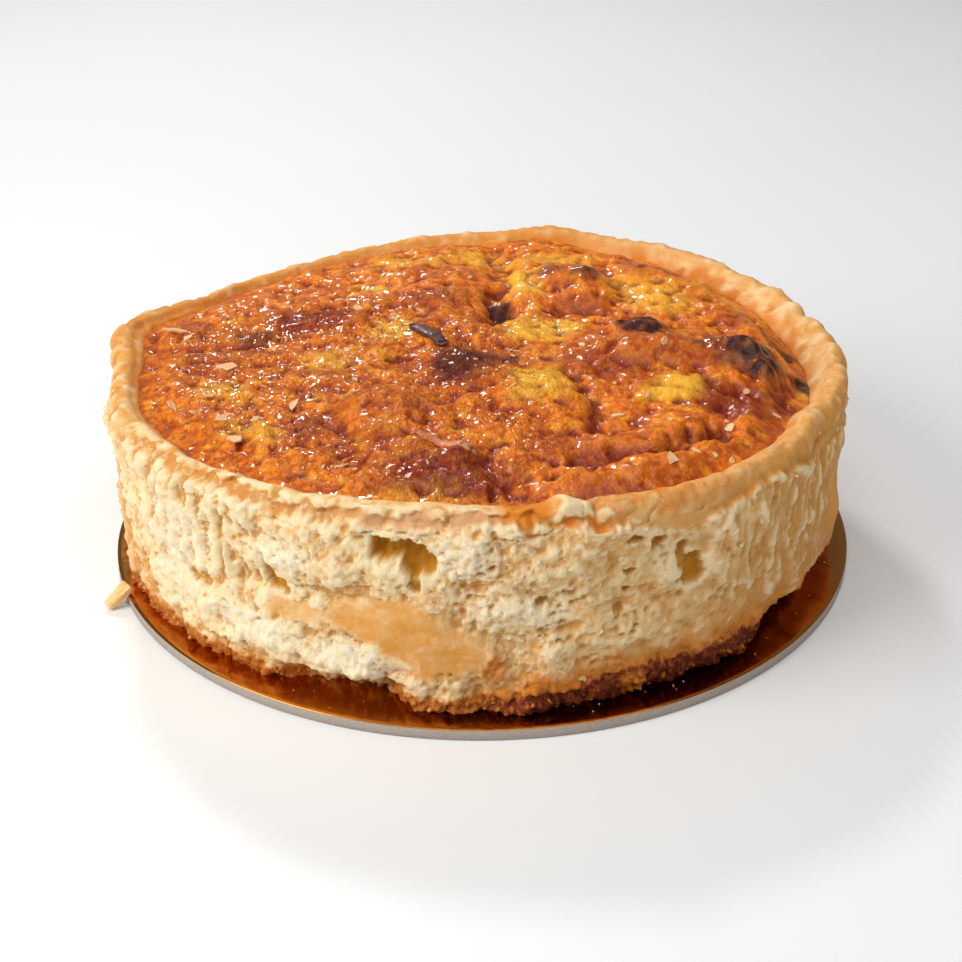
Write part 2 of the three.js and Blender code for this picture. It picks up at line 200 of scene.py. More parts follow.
# Smooth noise that shapes the dough: the width of its lumps (or the widths along x, y and z), and
# its seed.
CASE_NOISE = {
    "wander": (6, 1),
    "fray": (2.2, 2),
    "drift": (5, 3),
    "nibble": (1.8, 4),
    "broad": (9, 5),
    "crag": (3.4, 6),
    "fleck": (1.3, 7),
    "pore_bed": (9, 8),
    "strand": ((2.8, 2.8, 13), 13),
    "layer": ((5, 5, 1.7), 14),
    "wrinkle": ((2.6, 2.6, 10), 15),
    "swell": (2.6, 16),
    "fold": ((5, 5, 22), 17),
    "crack": ((7, 7, 14), 18),
    "clump": (8, 20),
    "fine_wrinkle": ((1.4, 1.4, 5), 21),
    "knuckle": (7, 22),
    "slab": ((3.2, 3.2, 17), 25),
}
TONE_NOISE = {"toasted": (7, 19), "oily": (4, 23), "scorched": (5, 24)}

# How far each kind of relief stands out of the wall or the rim, in millimetres.
RISE = SimpleNamespace(
    curd=0.42, step=0.55, fleck=0.26, calm_fleck=0.16, strand=1.1, slab=1.0, layer=0.5, wrinkle=0.9,
    fine_wrinkle=0.5, pore=0.9, small_pore=0.25, broad=0.5, swell=0.1, torn=0.8, skin=0.4, seam=1.1,
    fold=1.6, rim_crack=0.5, flake_out=0.9, flake_up=0.4)

# ------------------------------------------------------------------ the filling, by place

# Ridges (+) and furrows (-) of the set filling: from x, y to x, y, half width, height.
RIDGES = (
    (26, -8, 50, -10, 8, 1.4),
    (50, -10, 70, -13, 8, 1.8),
    (66, -12, 76, -20, 5, 1.6),
    (36, 2, 46, 3, 4, 2.0),
    (8, -30, 20, -36, 7, 1.2),
    (40, -30, 58, -26, 6, 1.6),
    (-28, -38, -12, -44, 6, 1.5),
    (-10, -14, 0, -24, 5, 1.6),
    (-28, 28, -4, 27, 4, 1.3),
    (-34, 18, -52, 14, 8, 1.0),
    (16, 46, 34, 38, 5, 1.4),
    (44, 46, 60, 40, 6, 1.4),
    (22, -78, 58, -66, 5, 1.4),
    (56, -50, 74, -36, 6, 0.8),
    (66, 22, 76, 6, 4, 1.0),
    (-22, -64, 2, -70, 6, 0.8),
    (18, -68, 46, -59, 3.2, -2.6),
    (46, -59, 58, -50, 3.0, -3.0),
    (58, -50, 62, -40, 3.0, -1.6),
    (2, -60, 6, -80, 3.0, -1.8),
    (3, 86, 7, 60, 3.5, -1.8),
    (7, 60, 5, 40, 3.5, -1.8),
    (5, 36, 4, 18, 3.0, -2.2),
    (24, -26, 30, -50, 3.5, -1.8),
    (58, -22, 66, -34, 3.0, -1.6),
    (-8, -2, 20, -2, 3.5, -1.4),
    (22, 22, 44, 20, 4.0, -1.4),
    (36, 60, 40, 30, 3.5, -1.4),
    (-34, -48, -30, -66, 3.5, -1.2),
    (-40, 36, -26, 40, 4.0, -1.0),
    (76, -30, 84, -14, 3.0, -1.8),
)

# Tones of the baked top: x, y, half length, half width, turn of the length, then how much.
CUSTARD_PATCHES = (
    (17, 8, 10, 6, 10, 1.0),
    (9, 17, 5, 5, 0, 0.9),
    (15, -31, 8, 9, 0, 0.85),
    (49, -31, 9, 5, 25, 0.85),
    (1, 67, 8, 8, 0, 0.75),
    (-34, 36, 6, 3, 20, 1.0),
    (-24, 9, 5, 6, 0, 0.7),
    (50, 30, 10, 9, 0, 0.6),
    (18, 64, 14, 5, 0, 0.6),
    (12, 40, 6, 10, 0, 0.8),
    (-66, -27, 6, 6, 0, 0.5),
    (-56, -50, 8, 4, -30, 0.6),
    (42, 37, 6, 6, 0, 0.7),
    (-40, -10, 6, 5, 0, 0.5),
    (-20, 60, 12, 7, 0, 0.5),
    (86, -16, 3, 8, 0, 0.6),
    (66, 40, 8, 7, 0, 0.35),
    (-14, -78, 10, 3, 0, 0.5),
)
BROWN_PATCHES = (
    (-46, 16, 14, 9, 0, 0.95),
    (-14, 27, 11, 5, 0, 0.95),
    (-43, -50, 7, 7, 0, 0.9),
    (23, 45, 8, 6, 0, 0.8),
    (24, -57, 14, 7, 20, 0.75),
    (-20, -43, 10, 6, -10, 0.7),
    (34, -14, 15, 9, 0, 0.7),
    (62, -12, 13, 8, 0, 0.95),
    (60, -34, 12, 8, 0, 0.8),
    (-12, 46, 10, 6, 0, 0.6),
    (-26, -60, 12, 8, 0, 0.6),
    (-70, -4, 12, 12, 0, 0.7),
    (-80, 12, 6, 8, 0, 0.5),
    (52, 46, 9, 4, 0, 0.7),
    (30, 27, 7, 6, 0, 0.85),
    (72, 18, 7, 9, 0, 0.6),
    (70, -52, 6, 9, -30, 0.6),
    (-4, -20, 11, 12, 0, 0.9),
    (-48, 40, 9, 4, 20, 0.5),
)
MAROON_PATCHES = (
    (-8, -72, 16, 8, 0, 1.0),
    (-5, -20, 7, 10, 0, 0.8),
    (32, -20, 10, 6, 0, 0.45),
    (64, -34, 10, 7, 0, 0.85),
    (44, -60, 9, 3, 25, 1.0),
    (4, -76, 5, 5, 0, 0.9),
    (-46, 17, 10, 6, 0, 0.75),
    (76, -30, 5, 8, 0, 0.8),
    (-40, -28, 8, 6, 0, 0.35),
)
BURNT_PATCHES = (
    (71, -14, 9, 9, 0, 1.0),
    (62, -10, 7, 4, -10, 0.6),
    (43, 2, 7, 7, 0, 1.0),
    (-4, -19, 8, 9, 0, 0.7),
    (31, 39, 3.5, 3.5, 0, 0.9),
    (23, 45, 6, 4, 0, 0.5),
    (86, -13, 3.5, 5, 0, 1.0),
    (83, 4, 3.5, 5, 0, 0.9),
    (48, 47, 4, 3, 0, 0.8),
    (5, 25, 3.5, 5, 0, 0.9),
    (-61, 6, 6, 4, 0, 0.65),
    (47, -59, 6, 2, 25, 0.9),
    (78, 8, 4, 6, 0, 0.6),
    (8, -14, 3, 3, 0, 0.7),
    (-43, -50, 4, 4, 0, 0.35),
    (-14, 27, 6, 3, 0, 0.35),
)

# Smooth noise that shapes the filling: the width of its lumps, and its seed.
FILLING_NOISE = {
    "warp_x": (9, 1),
    "warp_y": (9, 2),
    "fine_warp_x": (3, 3),
    "fine_warp_y": (3, 4),
    "big": (8, 5),
    "middle": (4, 6),
    "small": (2, 7),
    "mottle": (2.4, 10),
    "char": (2.6, 11),
}

# Larger flakes that fell on the filling: x, y, size.
TOP_FLAKES = (
    (-84, 12, 6.5), (-67.5, -11, 7.5), (-78, -33, 5.5), (-60, -54, 4), (-56, -42, 4.5),
    (-47, -36, 5), (34, -42, 5.5), (61, -47, 3.4), (55.5, -63, 2.6), (59.5, -62, 3),
    (51, -62, 2.6), (48, -12, 3.6), (-69, -30, 3.6), (-34, 20, 4.2), (-33, -68, 4.6),
    (67.5, -29, 3), (44.5, -68, 3.4), (-80, 8, 3.5), (-72, -38, 4), (-64, -44, 3.4),
    (74, -38, 3.2), (-40, 30, 3), (-29, 32, 2.6), (8, -8, 3),
)


# ------------------------------------------------------------------ settings

def linear(colour):
    """An sRGB hex colour as the linear values that shaders work in."""
    values = [int(colour[i:i + 2], 16) / 255 for i in (1, 3, 5)]
    return [v / 12.92 if v <= 0.04045 else ((v + 0.055) / 1.055) ** 2.4 for v in values]


def colour_setting(name, description, colour):
    return bpy.props.FloatVectorProperty(
        name=name, description=description, subtype="COLOR", size=3, min=0, max=1, default=linear(colour))


def length_setting(name, description, metres):
    return bpy.props.FloatProperty(name=name, description=description, unit="LENGTH", default=metres)


def count_setting(name, description, count):
    return bpy.props.IntProperty(name=name, description=description, default=count)


class QuicheCardSettings(bpy.types.PropertyGroup):
    """The round card that the quiche is sold on."""

    foil: colour_setting("Foil", "Thin gold foil pasted over the board", "#D58A35")
    board: colour_setting("Board", "Grey recycled board, seen at the cut edge", "#C6B6AA")
    fibre: length_setting("Fibre", "Length of the paper fibres at the cut edge", 0.0006)
    sides: count_setting("Sides", "Faces round the card's edge", 360)


class QuicheCrustSettings(bpy.types.PropertyGroup):
    """The pastry case."""

    pale: colour_setting("Pale dough", "Baked dough that the heat hardly reached", "#F9DFA8")
    golden: colour_setting("Golden dough", "Smooth dough that lay against the tin", "#E79F46")
    # Also laid as painted shade over the front and right of the wall, the side turned from the key light.
    tan: colour_setting("Tan dough", "Drier dough, baked a little longer", "#D69A50")
    toasted: colour_setting("Toasted dough", "Browned flakes at the foot and the rim", "#A94F16")
    dark: colour_setting("Dark dough", "The hardest-baked crumbs under the foot", "#5A1A08")
    # This darker tone is laid as painted shade in the wall's torn holes.
    custard: colour_setting("Custard", "Set egg that shows in the holes", "#C98A22")
    oil: colour_setting("Oil stain", "Cheese fat soaked into the rim", "#E0851A")
    columns: count_setting("Columns", "Points round the case", 840)
    pore: length_setting("Pore", "Distance between the pores of the baked dough", 0.0027)


class QuicheFillingSettings(bpy.types.PropertyGroup):
    """The set egg-and-cheese filling."""

    orange: colour_setting("Orange", "Lightly browned cheese", "#EC7812")
    yellow: colour_setting("Yellow", "Custard that shows between browned places", "#FFC038")
    brown: colour_setting("Brown", "Browned cheese", "#9C3A0E")
    maroon: colour_setting("Maroon", "Cheese fried in its own fat", "#7A1A06")
    burnt: colour_setting("Burnt", "Burnt knobs of cheese and bacon", "#3E1710")
    cells: count_setting("Cells", "Grid cells across the filling", 304)
    curd: length_setting("Curd", "Width of the small blisters on the top", 0.0021)


class QuicheToppingSettings(bpy.types.PropertyGroup):
    """Shreds, flakes and crumbs that lie on the quiche."""

    shred: colour_setting("Pale shred", "A shred of cheese, lightly fried", "#D98C5C")
    dark_shred: colour_setting("Dark shred", "A shred of cheese, fried dark", "#6A403C")
    flake: colour_setting("Flake", "A dry flake of pale pastry", "#EDC296")
    wall_flake: colour_setting("Wall flake", "A dry flake that stands off the wall", "#F4DDB2")
    top_flakes: count_setting("Top flakes", "Small flakes on the filling", 90)
    wall_flakes: count_setting("Wall flakes", "Flakes on the wall", 260)
    crumbs: count_setting("Crumbs", "Crumbs round the foot", 420)


class QuicheStageSettings(bpy.types.PropertyGroup):
    """Floor, light and camera."""

    floor: colour_setting("Floor", "Plain pale table top", "#F0F2F4")
    lens: bpy.props.FloatProperty(name="Lens", description="Focal length in millimetres", default=65)
    distance: length_setting("Camera back", "How far in front of the axis the camera is", 0.4297)
    height: length_setting("Camera height", "Camera height above the table", 0.2429)
    pitch: bpy.props.FloatProperty(
        name="Pitch", description="How far the camera looks down", subtype="ANGLE", default=math.radians(28))
    roll: bpy.props.FloatProperty(
        name="Roll", description="Tilt of the camera about its view", subtype="ANGLE",
        default=math.radians(-0.4))


# ------------------------------------------------------------------ numbers and noise

def bell(distance, spread):
    return np.exp(-((distance / spread) ** 2))


def ease(low, high, values):
    """0 at low, 1 at high, smoothly between; low may be the larger."""
    share = np.clip((values - low) / (high - low), 0, 1)
    return share * share * (3 - 2 * share)


def stretch(values, begins, full, fades, ends):
    """1 between the two middle values, easing to 0 at the outer ones."""
    return ease(begins, full, values) * ease(ends, fades, values)


def mix(low, high, share):
    return low + (high - low) * share


def turn_between(bearing, centre):
    return (bearing - centre + 180) % 360 - 180


def points_at(bearing, radius, height):
    angle = np.radians(bearing)
    return np.stack([radius * np.sin(angle), -radius * np.cos(angle), height], -1)


# Large odd numbers that stir a cell's own whole numbers into evenly spread ones.
CELL_PRIMES = np.array((73856093, 19349663, 83492791))
SEED_PRIME = 40503
STIR = 0x45D9F3B
SALTS = (0x9E3779B1, 0x85EBCA77, 0xC2B2AE3D)
WORD = 0xFFFFFFFF


def cell_random(cell, seed):
    """Three numbers from 0 to 1 for each whole-numbered cell, always the same ones for that cell."""
    mixed = (cell @ CELL_PRIMES + seed * SEED_PRIME) & WORD
    channels = []
    for salt in SALTS:
        value = ((mixed ^ salt) * STIR) & WORD
        value = ((value >> 16 ^ value) * STIR) & WORD
        channels.append((value >> 16 ^ value) / WORD)
    return np.stack(channels, -1)


def lumps(points, size, seed=0):
    """Smooth noise from about -1 to 1 whose lumps are about `size` millimetres wide."""
    scaled = points / np.asarray(size, float)
    cell = np.floor(scaled).astype(np.int64)
    part = scaled - cell
    blend = part ** 3 * (part * (part * 6 - 15) + 10)
    total = np.zeros(len(points))
    for corner in itertools.product((0, 1), repeat=3):
        slope = 2 * cell_random(cell + corner, seed) - 1
        weight = np.prod(np.where(corner, blend, 1 - blend), axis=1)
        total += weight * np.sum(slope * (part - corner), axis=1)
    return 1.7 * total


def noise_fields(points, fields):
    """Smooth noise at some points for each (width, seed) of a table, under the table's names."""
    return SimpleNamespace(**{name: lumps(points, *settings) for name, settings in fields.items()})


def nearest_points(points, size, seed):
    """Distances to the nearest and second nearest of scattered points, and the nearest's own number."""
    scaled = points / np.asarray(size, float)
    cell = np.floor(scaled).astype(np.int64)
    first, second, number = np.full((3, len(points)), 9.0)
    for corner in itertools.product((-1, 0, 1), repeat=3):
        random = cell_random(cell + corner, seed)
        away = np.linalg.norm(cell + corner + random - scaled, axis=1)
        number = np.where(away < first, random[:, 0], number)
        second = np.minimum(second, np.maximum(first, away))
        first = np.minimum(first, away)
    return first, second, number


def pits(points, size, seed=0):
    """Round pits about `size` apart: 1 in the middle of a pit, 0 outside it."""
    first, _, number = nearest_points(points, size, seed)
    return np.clip(1 - first / (0.25 + 0.3 * number), 0, 1) ** 0.6


def blisters(points, size, seed=0):
    """Rounded bumps that touch, about `size` apart: 1 on a crown, 0 in a crease."""
    first, second, _ = nearest_points(points, size, seed)
    return np.clip(1.6 * (second - first), 0, 1)


def ragged_spots(across, up, spots, softness):
    """The most that any oval spot (across, up, half width, half height, amount) gives."""
    total = np.zeros(len(across))
    for centre, height, wide, tall, amount in spots:
        reach = np.hypot(turn_between(across, centre) * MM_PER_DEGREE / wide, (up - height) / tall)
        total = np.maximum(total, amount * ease(1 + softness, 1 - softness, reach))
    return total


def turned_spots(x, y, spots, softness):
    """The most that any turned oval (x, y, half length, half width, turn, amount) gives."""
    total = np.zeros(len(x))
    for centre_x, centre_y, long, wide, turn, amount in spots:
        cos, sin = math.cos(math.radians(turn)), math.sin(math.radians(turn))
        along = ((x - centre_x) * cos + (y - centre_y) * sin) / long
        side = (-(x - centre_x) * sin + (y - centre_y) * cos) / wide
        total = np.maximum(total, amount * ease(1 + softness, 1 - softness, np.hypot(along, side)))
    return total


def smoothed(values, sigma, axis, wrap):
    """Values blurred along one axis by a bell of `sigma` steps."""
    reach = int(3 * sigma)
    weights = bell(np.arange(-reach, reach + 1), sigma * math.sqrt(2))
    weights /= weights.sum()
    pad = [(0, 0)] * values.ndim
    pad[axis] = (reach, reach)
    padded = np.pad(values, pad, mode="wrap" if wrap else "edge")
    return np.apply_along_axis(lambda line: np.convolve(line, weights, "valid"), axis, padded)


def smoothed_square(values, order, sigma):
    """Values at the points of a square grid blurred both ways; `order` sorts the points into rows."""
    side = math.isqrt(len(values))
    grid = values[order].reshape(side, side)
    blurred = np.empty(len(values))
    blurred[order] = smoothed(smoothed(grid, sigma, 0, False), sigma, 1, False).ravel()
    return blurred


def closed_over(values, reach):
    """Hollows narrower than `reach` steps round the case filled in, the rest kept."""
    widest = values.copy()
    for step in range(-reach, reach + 1):
        widest = np.maximum(widest, np.roll(values, step, axis=1))
    closed = widest.copy()
    for step in range(-reach, reach + 1):
        closed = np.minimum(closed, np.roll(widest, step, axis=1))
    return closed


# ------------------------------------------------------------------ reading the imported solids

def points_of(node):
    """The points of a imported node, in millimetres."""
    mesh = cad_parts[node].data
    places = np.empty(len(mesh.vertices) * 3)
    mesh.vertices.foreach_get("co", places)
    return places.reshape(-1, 3) / MM


def solid_tree(node):
    """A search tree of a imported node, in millimetres."""
    triangles = [tuple(face.vertices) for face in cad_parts[node].data.polygons]
    return BVHTree.FromPolygons(points_of(node).tolist(), triangles)


def cast(tree, origins, directions, otherwise):
    """Distance from each origin to the first hit along its direction."""
    found = []
    directions = np.broadcast_to(directions, origins.shape)
    for origin, direction in zip(origins.tolist(), directions.tolist()):
        distance = tree.ray_cast(Vector(origin), Vector(direction))[3]
        found.append(otherwise if distance is None else distance)
    return np.array(found)


def edge_of_filling():
    """Bearings, radii and heights of the filling's outer edge, where it meets the case."""
    under_edge, step, reach = 42, 10 / 3, 1.2
    points = points_of("filling")
    x, y, z = points[points[:, 2] > under_edge].T
    bearing = np.degrees(np.arctan2(x, -y))
    radius = np.hypot(x, y)
    bearings = np.arange(-180, 180, step)
    edge = []
    for centre in bearings:
        near = np.abs(turn_between(bearing, centre)) < reach
        outermost = np.argmax(np.where(near, radius, 0))
        edge.append((radius[outermost], z[outermost]))
    radii, heights = np.array(edge).T
    return bearings, radii, heights


def at_bearing(bearing, bearings, values):
    return np.interp(bearing, bearings, values, period=360)


# ------------------------------------------------------------------ mesh making

def spun(outline, steps):
    """A bmesh spun once round the upright axis from an outline of (radius, height)."""
    bm = bmesh.new()
    line = [bm.verts.new((radius, 0, height)) for radius, height in outline]
    for low, high in zip(line, line[1:]):
        bm.edges.new((low, high))
    bmesh.ops.spin(bm, geom=bm.verts[:] + bm.edges[:], axis=(0, 0, 1), cent=(0, 0, 0),
                   angle=FULL_TURN, steps=steps, use_merge=True, use_duplicate=False)
    return bm


def ring_and_column(bm, columns):
    """Which ring and column each point of a tube spun with a ring at each whole height is in."""
    places = np.array([v.co[:] for v in bm.verts])
    turn = np.arctan2(places[:, 1], places[:, 0]) / FULL_TURN
    return np.rint(places[:, 2]).astype(int), np.rint(turn * columns).astype(int) % columns


def move_points(bm, places):
    """Puts the points of a bmesh at places given in millimetres."""
    for vert, place in zip(bm.verts, (places * MM).tolist()):
        vert.co = place


def new_points(made):
    return [part for part in made["geom"] if isinstance(part, bmesh.types.BMVert)]


def keep(bm, name, materials, replaced=(), values=None, smooth=True):
    """Makes the piece's object at the origin, on the quiche's one body."""
    bmesh.ops.recalc_face_normals(bm, faces=bm.faces[:])
    mesh = bpy.data.meshes.new(name)
    bm.to_mesh(mesh)
    bm.free()
    for title, numbers in (values or {}).items():
        layer = mesh.attributes.new(title, "FLOAT", "POINT")
        layer.data.foreach_set("value", np.asarray(numbers, np.float32))
    for material in materials:
        mesh.materials.append(material)
    mesh.polygons.foreach_set("use_smooth", [smooth] * len(mesh.polygons))
    piece = bpy.data.objects.new(name, mesh)
    bpy.context.scene.collection.objects.link(piece)
    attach(piece, "root")
    if replaced:
        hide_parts(*replaced)
    return piece


# ------------------------------------------------------------------ materials

# Tones that lie between the colours in the settings.
PASTRY_TONES = {
    "baked rim": "#E9954C",
    # The next two tones darken the hollows and lighten the crests: partly the dough's own tones, partly
    # painted shade and painted highlight.
    "deep crumb and hollow shade": "#CC8C3C",
    "dry tip and crest highlight": "#FDEBC2",
    "white crumb": "#FFF4DC",
    # Painted shade in the recessed seam under the rim.
    "seam_shade": "#DDA77A",
    "browning": "#D98A35",
}
# Brighter orange on the crests of the top: partly fried cheese, partly painted highlight.
CREST_CHEESE_AND_HIGHLIGHT = "#F08A22"
GREASY_FOIL = "#B4641F"
FOOT_SHADE_ON_FOIL = "#3A120A"
FLAKE_EDGE = "#E3A36A"
WALL_FLAKE_EDGE = "#DDA968"
PALE_SHRED_EDGE = "#B8552C"
DARK_SHRED_EDGE = "#2E1512"


def add(tree, kind, inputs=None, **settings):
    """Adds a node: settings are its own properties, inputs its sockets, linked or set."""
    made = tree.nodes.new(kind)
    for name, value in settings.items():
        setattr(made, name, value)
    for key, value in (inputs or {}).items():
        if isinstance(value, bpy.types.NodeSocket):
            tree.links.new(value, made.inputs[key])
        else:
            made.inputs[key].default_value = value
    return made


def per_metre(size_mm):
    """The scale of a pattern on metre coordinates whose features are that wide."""
    return 1 / (size_mm * MM)


def opaque(colour):
    """A linear colour, or an sRGB hex one, with full alpha."""
    return (*(linear(colour) if isinstance(colour, str) else colour), 1)


def new_material(name):
    material = bpy.data.materials.new(name)
    material.use_nodes = True
    material.node_tree.nodes.clear()
    place = add(material.node_tree, "ShaderNodeTexCoord").outputs["Object"]
    return material, material.node_tree, place


def surfaced(material, sockets):
    """Ends a material: its shader, with the sockets linked or set, on its output."""
    tree = material.node_tree
    shader = add(tree, "ShaderNodeBsdfPrincipled", sockets)
    add(tree, "ShaderNodeOutputMaterial", {"Surface": shader.outputs[0]})
    return material


def lets_light_in(weight, radius, depth_mm):
    """The sockets of a shader for a thing that light goes into, as it does into fat and crumb."""
    return {"Subsurface Weight": weight, "Subsurface Radius": radius, "Subsurface Scale": depth_mm * MM}


def layered(tree, base, layers):
    """Colours laid over a base one after another, each by its own share."""
    colour = base
    for share, above in layers:
        colour = add(tree, "ShaderNodeMix", {0: share, 6: colour, 7: above}, data_type="RGBA").outputs[2]
    return colour


def pastry_material(settings):
    # Shortcrust pastry, baked: flour and butter set into a dry, short, flaky crumb. It is matt and
    # a little translucent, pale where it was shielded and golden to brown where heat reached it.
    # Its darker tones in hollows, holes and the seam under the rim, and on its front and right side,
    # are painted shade in whole or in part; its paler crests are partly painted highlight.
    material, tree, place = new_material("baked_shortcrust_pastry")
    titles = ("golden", "tan", "toast", "hollow", "oil", "seam_shade", "cavity", "rim", "crumbly")
    attribute = {
        title: add(tree, "ShaderNodeAttribute", attribute_name=title).outputs["Fac"] for title in titles}
    # Noise as wide as the mottling, the crumb and the grain of the flour, in millimetres.
    mottle, crumb, grain = (
        add(tree, "ShaderNodeTexNoise", {"Vector": place, "Scale": per_metre(width), "Detail": detail,
                                         "Roughness": rough}).outputs["Fac"]
        for width, detail, rough in ((6, 6, 0.65), (1.5, 5, 0.7), (0.6, 3, 0.6)))
    white_clusters, on_rim, toasting = (
        add(tree, "ShaderNodeMath", {0: attribute[title], 1: pattern}, operation="MULTIPLY").outputs[0]
        for title, pattern in (("crumbly", crumb), ("rim", mottle), ("toast", crumb)))
    # Each layer of colour: what drives it, where it begins, where it is full, and how full.
    share = {
        title: add(tree, "ShaderNodeMapRange", {"Value": driver, "From Min": begins, "From Max": full,
                                                "To Max": most}).outputs[0]
        for title, driver, begins, full, most in (
            ("mottled", mottle, 0.44, 0.62, 0.55),
            ("speckled", crumb, 0.5, 0.7, 0.3),
            ("baked rim", on_rim, 0.5, 0.68, 0.4),
            # Darker golden in the hollows and paler on the crests: partly the dough's tones, partly painted
            # shade and painted highlight.
            ("deep crumb and hollow shade", attribute["cavity"], 0.49, 0.17, 0.8),
            ("dry tip and crest highlight", attribute["cavity"], 0.52, 0.8, 0.65),
            ("white crumb", white_clusters, 0.46, 0.56, 0.65),
            ("browning", attribute["toast"], 0, 0.45, 1),
            ("brown", toasting, 0.2, 0.45, 1),
            ("dark", toasting, 0.33, 0.58, 1))}
    tone = {title: opaque(colour) for title, colour in PASTRY_TONES.items()}
    colour = layered(tree, opaque(settings.pale), (
        (share["mottled"], opaque(settings.golden)),
        (share["speckled"], opaque(settings.golden)),
        (attribute["tan"], opaque(settings.tan)),
        (attribute["golden"], opaque(settings.golden)),
        *((share[title], tone[title]) for title in ("baked rim", "deep crumb and hollow shade", "dry tip and crest highlight", "white crumb")),
        (attribute["seam_shade"], tone["seam_shade"]),
        (share["browning"], tone["browning"]),
        (share["brown"], opaque(settings.toasted)),
        (share["dark"], opaque(settings.dark)),
        (attribute["oil"], opaque(settings.oil)),
        # Painted shade in the torn holes.
        (attribute["hollow"], opaque(settings.custard)),
    ))
    height = add(tree, "ShaderNodeMath", {0: crumb, 1: grain}, operation="ADD").outputs[0]
    return surfaced(material, {
        "Base Color": colour,
        "Roughness": add(tree, "ShaderNodeMapRange", {"Value": attribute["oil"], "To Min": 0.78,
                                                      "To Max": 0.38}).outputs[0],
        "Normal": add(tree, "ShaderNodeBump", {"Strength": 0.6, "Distance": 0.55 * MM,
                                               "Height": height}).outputs[0],
        "Specular IOR Level": 0.3,
        **lets_light_in(0.12, (1.0, 0.55, 0.25), 1.6),
    })


def filling_material(settings):
    # Quiche filling, baked: egg and cream set with cheese that has browned and fried in its own
    # fat. It is blistered, oily and glossy, orange where thin and maroon to black where it caught.
    material, tree, place = new_material("baked_egg_and_cheese")
    titles = ("custard", "brown", "maroon", "burnt", "dry", "crest", "wet")
    attribute = {
        title: add(tree, "ShaderNodeAttribute", attribute_name=title).outputs["Fac"] for title in titles}
    # Noise as wide as the browned patches, the freckles and the smallest blisters, in millimetres.
    patch, freckle, fine = (
        add(tree, "ShaderNodeTexNoise", {"Vector": place, "Scale": per_metre(width), "Detail": detail,
                                         "Roughness": rough, "Distortion": bent}).outputs["Fac"]
        for width, detail, rough, bent in ((5, 6, 0.7, 0.6), (1.7, 4, 0.6, 0), (0.9, 2, 0.5, 0)))
    # Each layer of colour: what drives it, where it begins, where it is full, and how full.
    # Crests are laid brighter orange and creases maroon: partly the cheese's own tones, partly painted
    # highlight and painted shade.
    browned, golden, freckled, lit, crest_cheese_and_highlight, crease_maroon_and_shade = (
        add(tree, "ShaderNodeMapRange", {"Value": driver, "From Min": begins, "From Max": full,
                                         "To Max": most}).outputs[0]
        for driver, begins, full, most in (
            (patch, 0.47, 0.6, 0.7),
            (patch, 0.47, 0.36, 0.55),
            (freckle, 0.5, 0.64, 0.5),
            (freckle, 0.46, 0.34, 0.4),
            (attribute["crest"], 0.52, 0.85, 0.5),
            (attribute["crest"], 0.48, 0.18, 0.8)))
    yellow, brown, maroon = (opaque(c) for c in (settings.yellow, settings.brown, settings.maroon))
    colour = layered(tree, opaque(settings.orange), (
        (golden, yellow),
        (lit, yellow),
        (browned, brown),
        (freckled, brown),
        (attribute["brown"], brown),
        (crest_cheese_and_highlight, opaque(CREST_CHEESE_AND_HIGHLIGHT)),
        (attribute["custard"], yellow),
        (crease_maroon_and_shade, maroon),
        (attribute["maroon"], maroon),
        (attribute["burnt"], opaque(settings.burnt)),
    ))
    both = add(tree, "ShaderNodeMath", {0: freckle, 1: fine}, operation="ADD").outputs[0]
    height = add(tree, "ShaderNodeMath", {0: both, 1: attribute["wet"]}, operation="MULTIPLY").outputs[0]
    return surfaced(material, {
        "Base Color": colour,
        "Roughness": add(tree, "ShaderNodeMapRange", {"Value": attribute["dry"], "To Min": 0.28,
                                                      "To Max": 0.6}).outputs[0],
        "Normal": add(tree, "ShaderNodeBump", {"Strength": 0.9, "Distance": 1.3 * MM,
                                               "Height": height}).outputs[0],
        "Specular IOR Level": 0.1,
        "Coat Weight": 0.42,
        "Coat Roughness": 0.07,
        **lets_light_in(0.15, (1.0, 0.4, 0.12), 1.5),
    })


def shred_material(name, colour, edge):
    # Grated cheese, fried: a dense translucent shred with a thin film of fat on it.
    material, tree, place = new_material(name)
    streak = add(tree, "ShaderNodeTexNoise", {"Vector": place, "Scale": per_metre(1.5),
                                             "Detail": 4}).outputs["Fac"]
    share = add(tree, "ShaderNodeMapRange", {"Value": streak, "From Min": 0.42, "From Max": 0.65}).outputs[0]
    return surfaced(material, {
        "Base Color": layered(tree, opaque(colour), ((share, opaque(edge)),)),
        "Normal": add(tree, "ShaderNodeBump", {"Strength": 0.5, "Distance": 0.3 * MM,
                                               "Height": streak}).outputs[0],
        "Roughness": 0.38,
        "Coat Weight": 0.3,
        "Coat Roughness": 0.15,
        **lets_light_in(0.2, (1.0, 0.5, 0.2), 1),
    })


def flake_material(name, colour, edge):
    # Dry flakes of baked shortcrust: thin, pale and matt, a little browner at their edges.
    material, tree, place = new_material(name)
    patch = add(tree, "ShaderNodeTexNoise", {"Vector": place, "Scale": per_metre(4),
                                            "Detail": 5}).outputs["Fac"]
    share = add(tree, "ShaderNodeMapRange", {"Value": patch, "From Min": 0.45, "From Max": 0.65,
                                             "To Max": 0.7}).outputs[0]
    return surfaced(material, {
        "Base Color": layered(tree, opaque(colour), ((share, opaque(edge)),)),
        "Normal": add(tree, "ShaderNodeBump", {"Strength": 0.4, "Distance": 0.2 * MM,
                                               "Height": patch}).outputs[0],
        "Roughness": 0.7,
        **lets_light_in(0.2, (1.0, 0.6, 0.3), 1),
    })


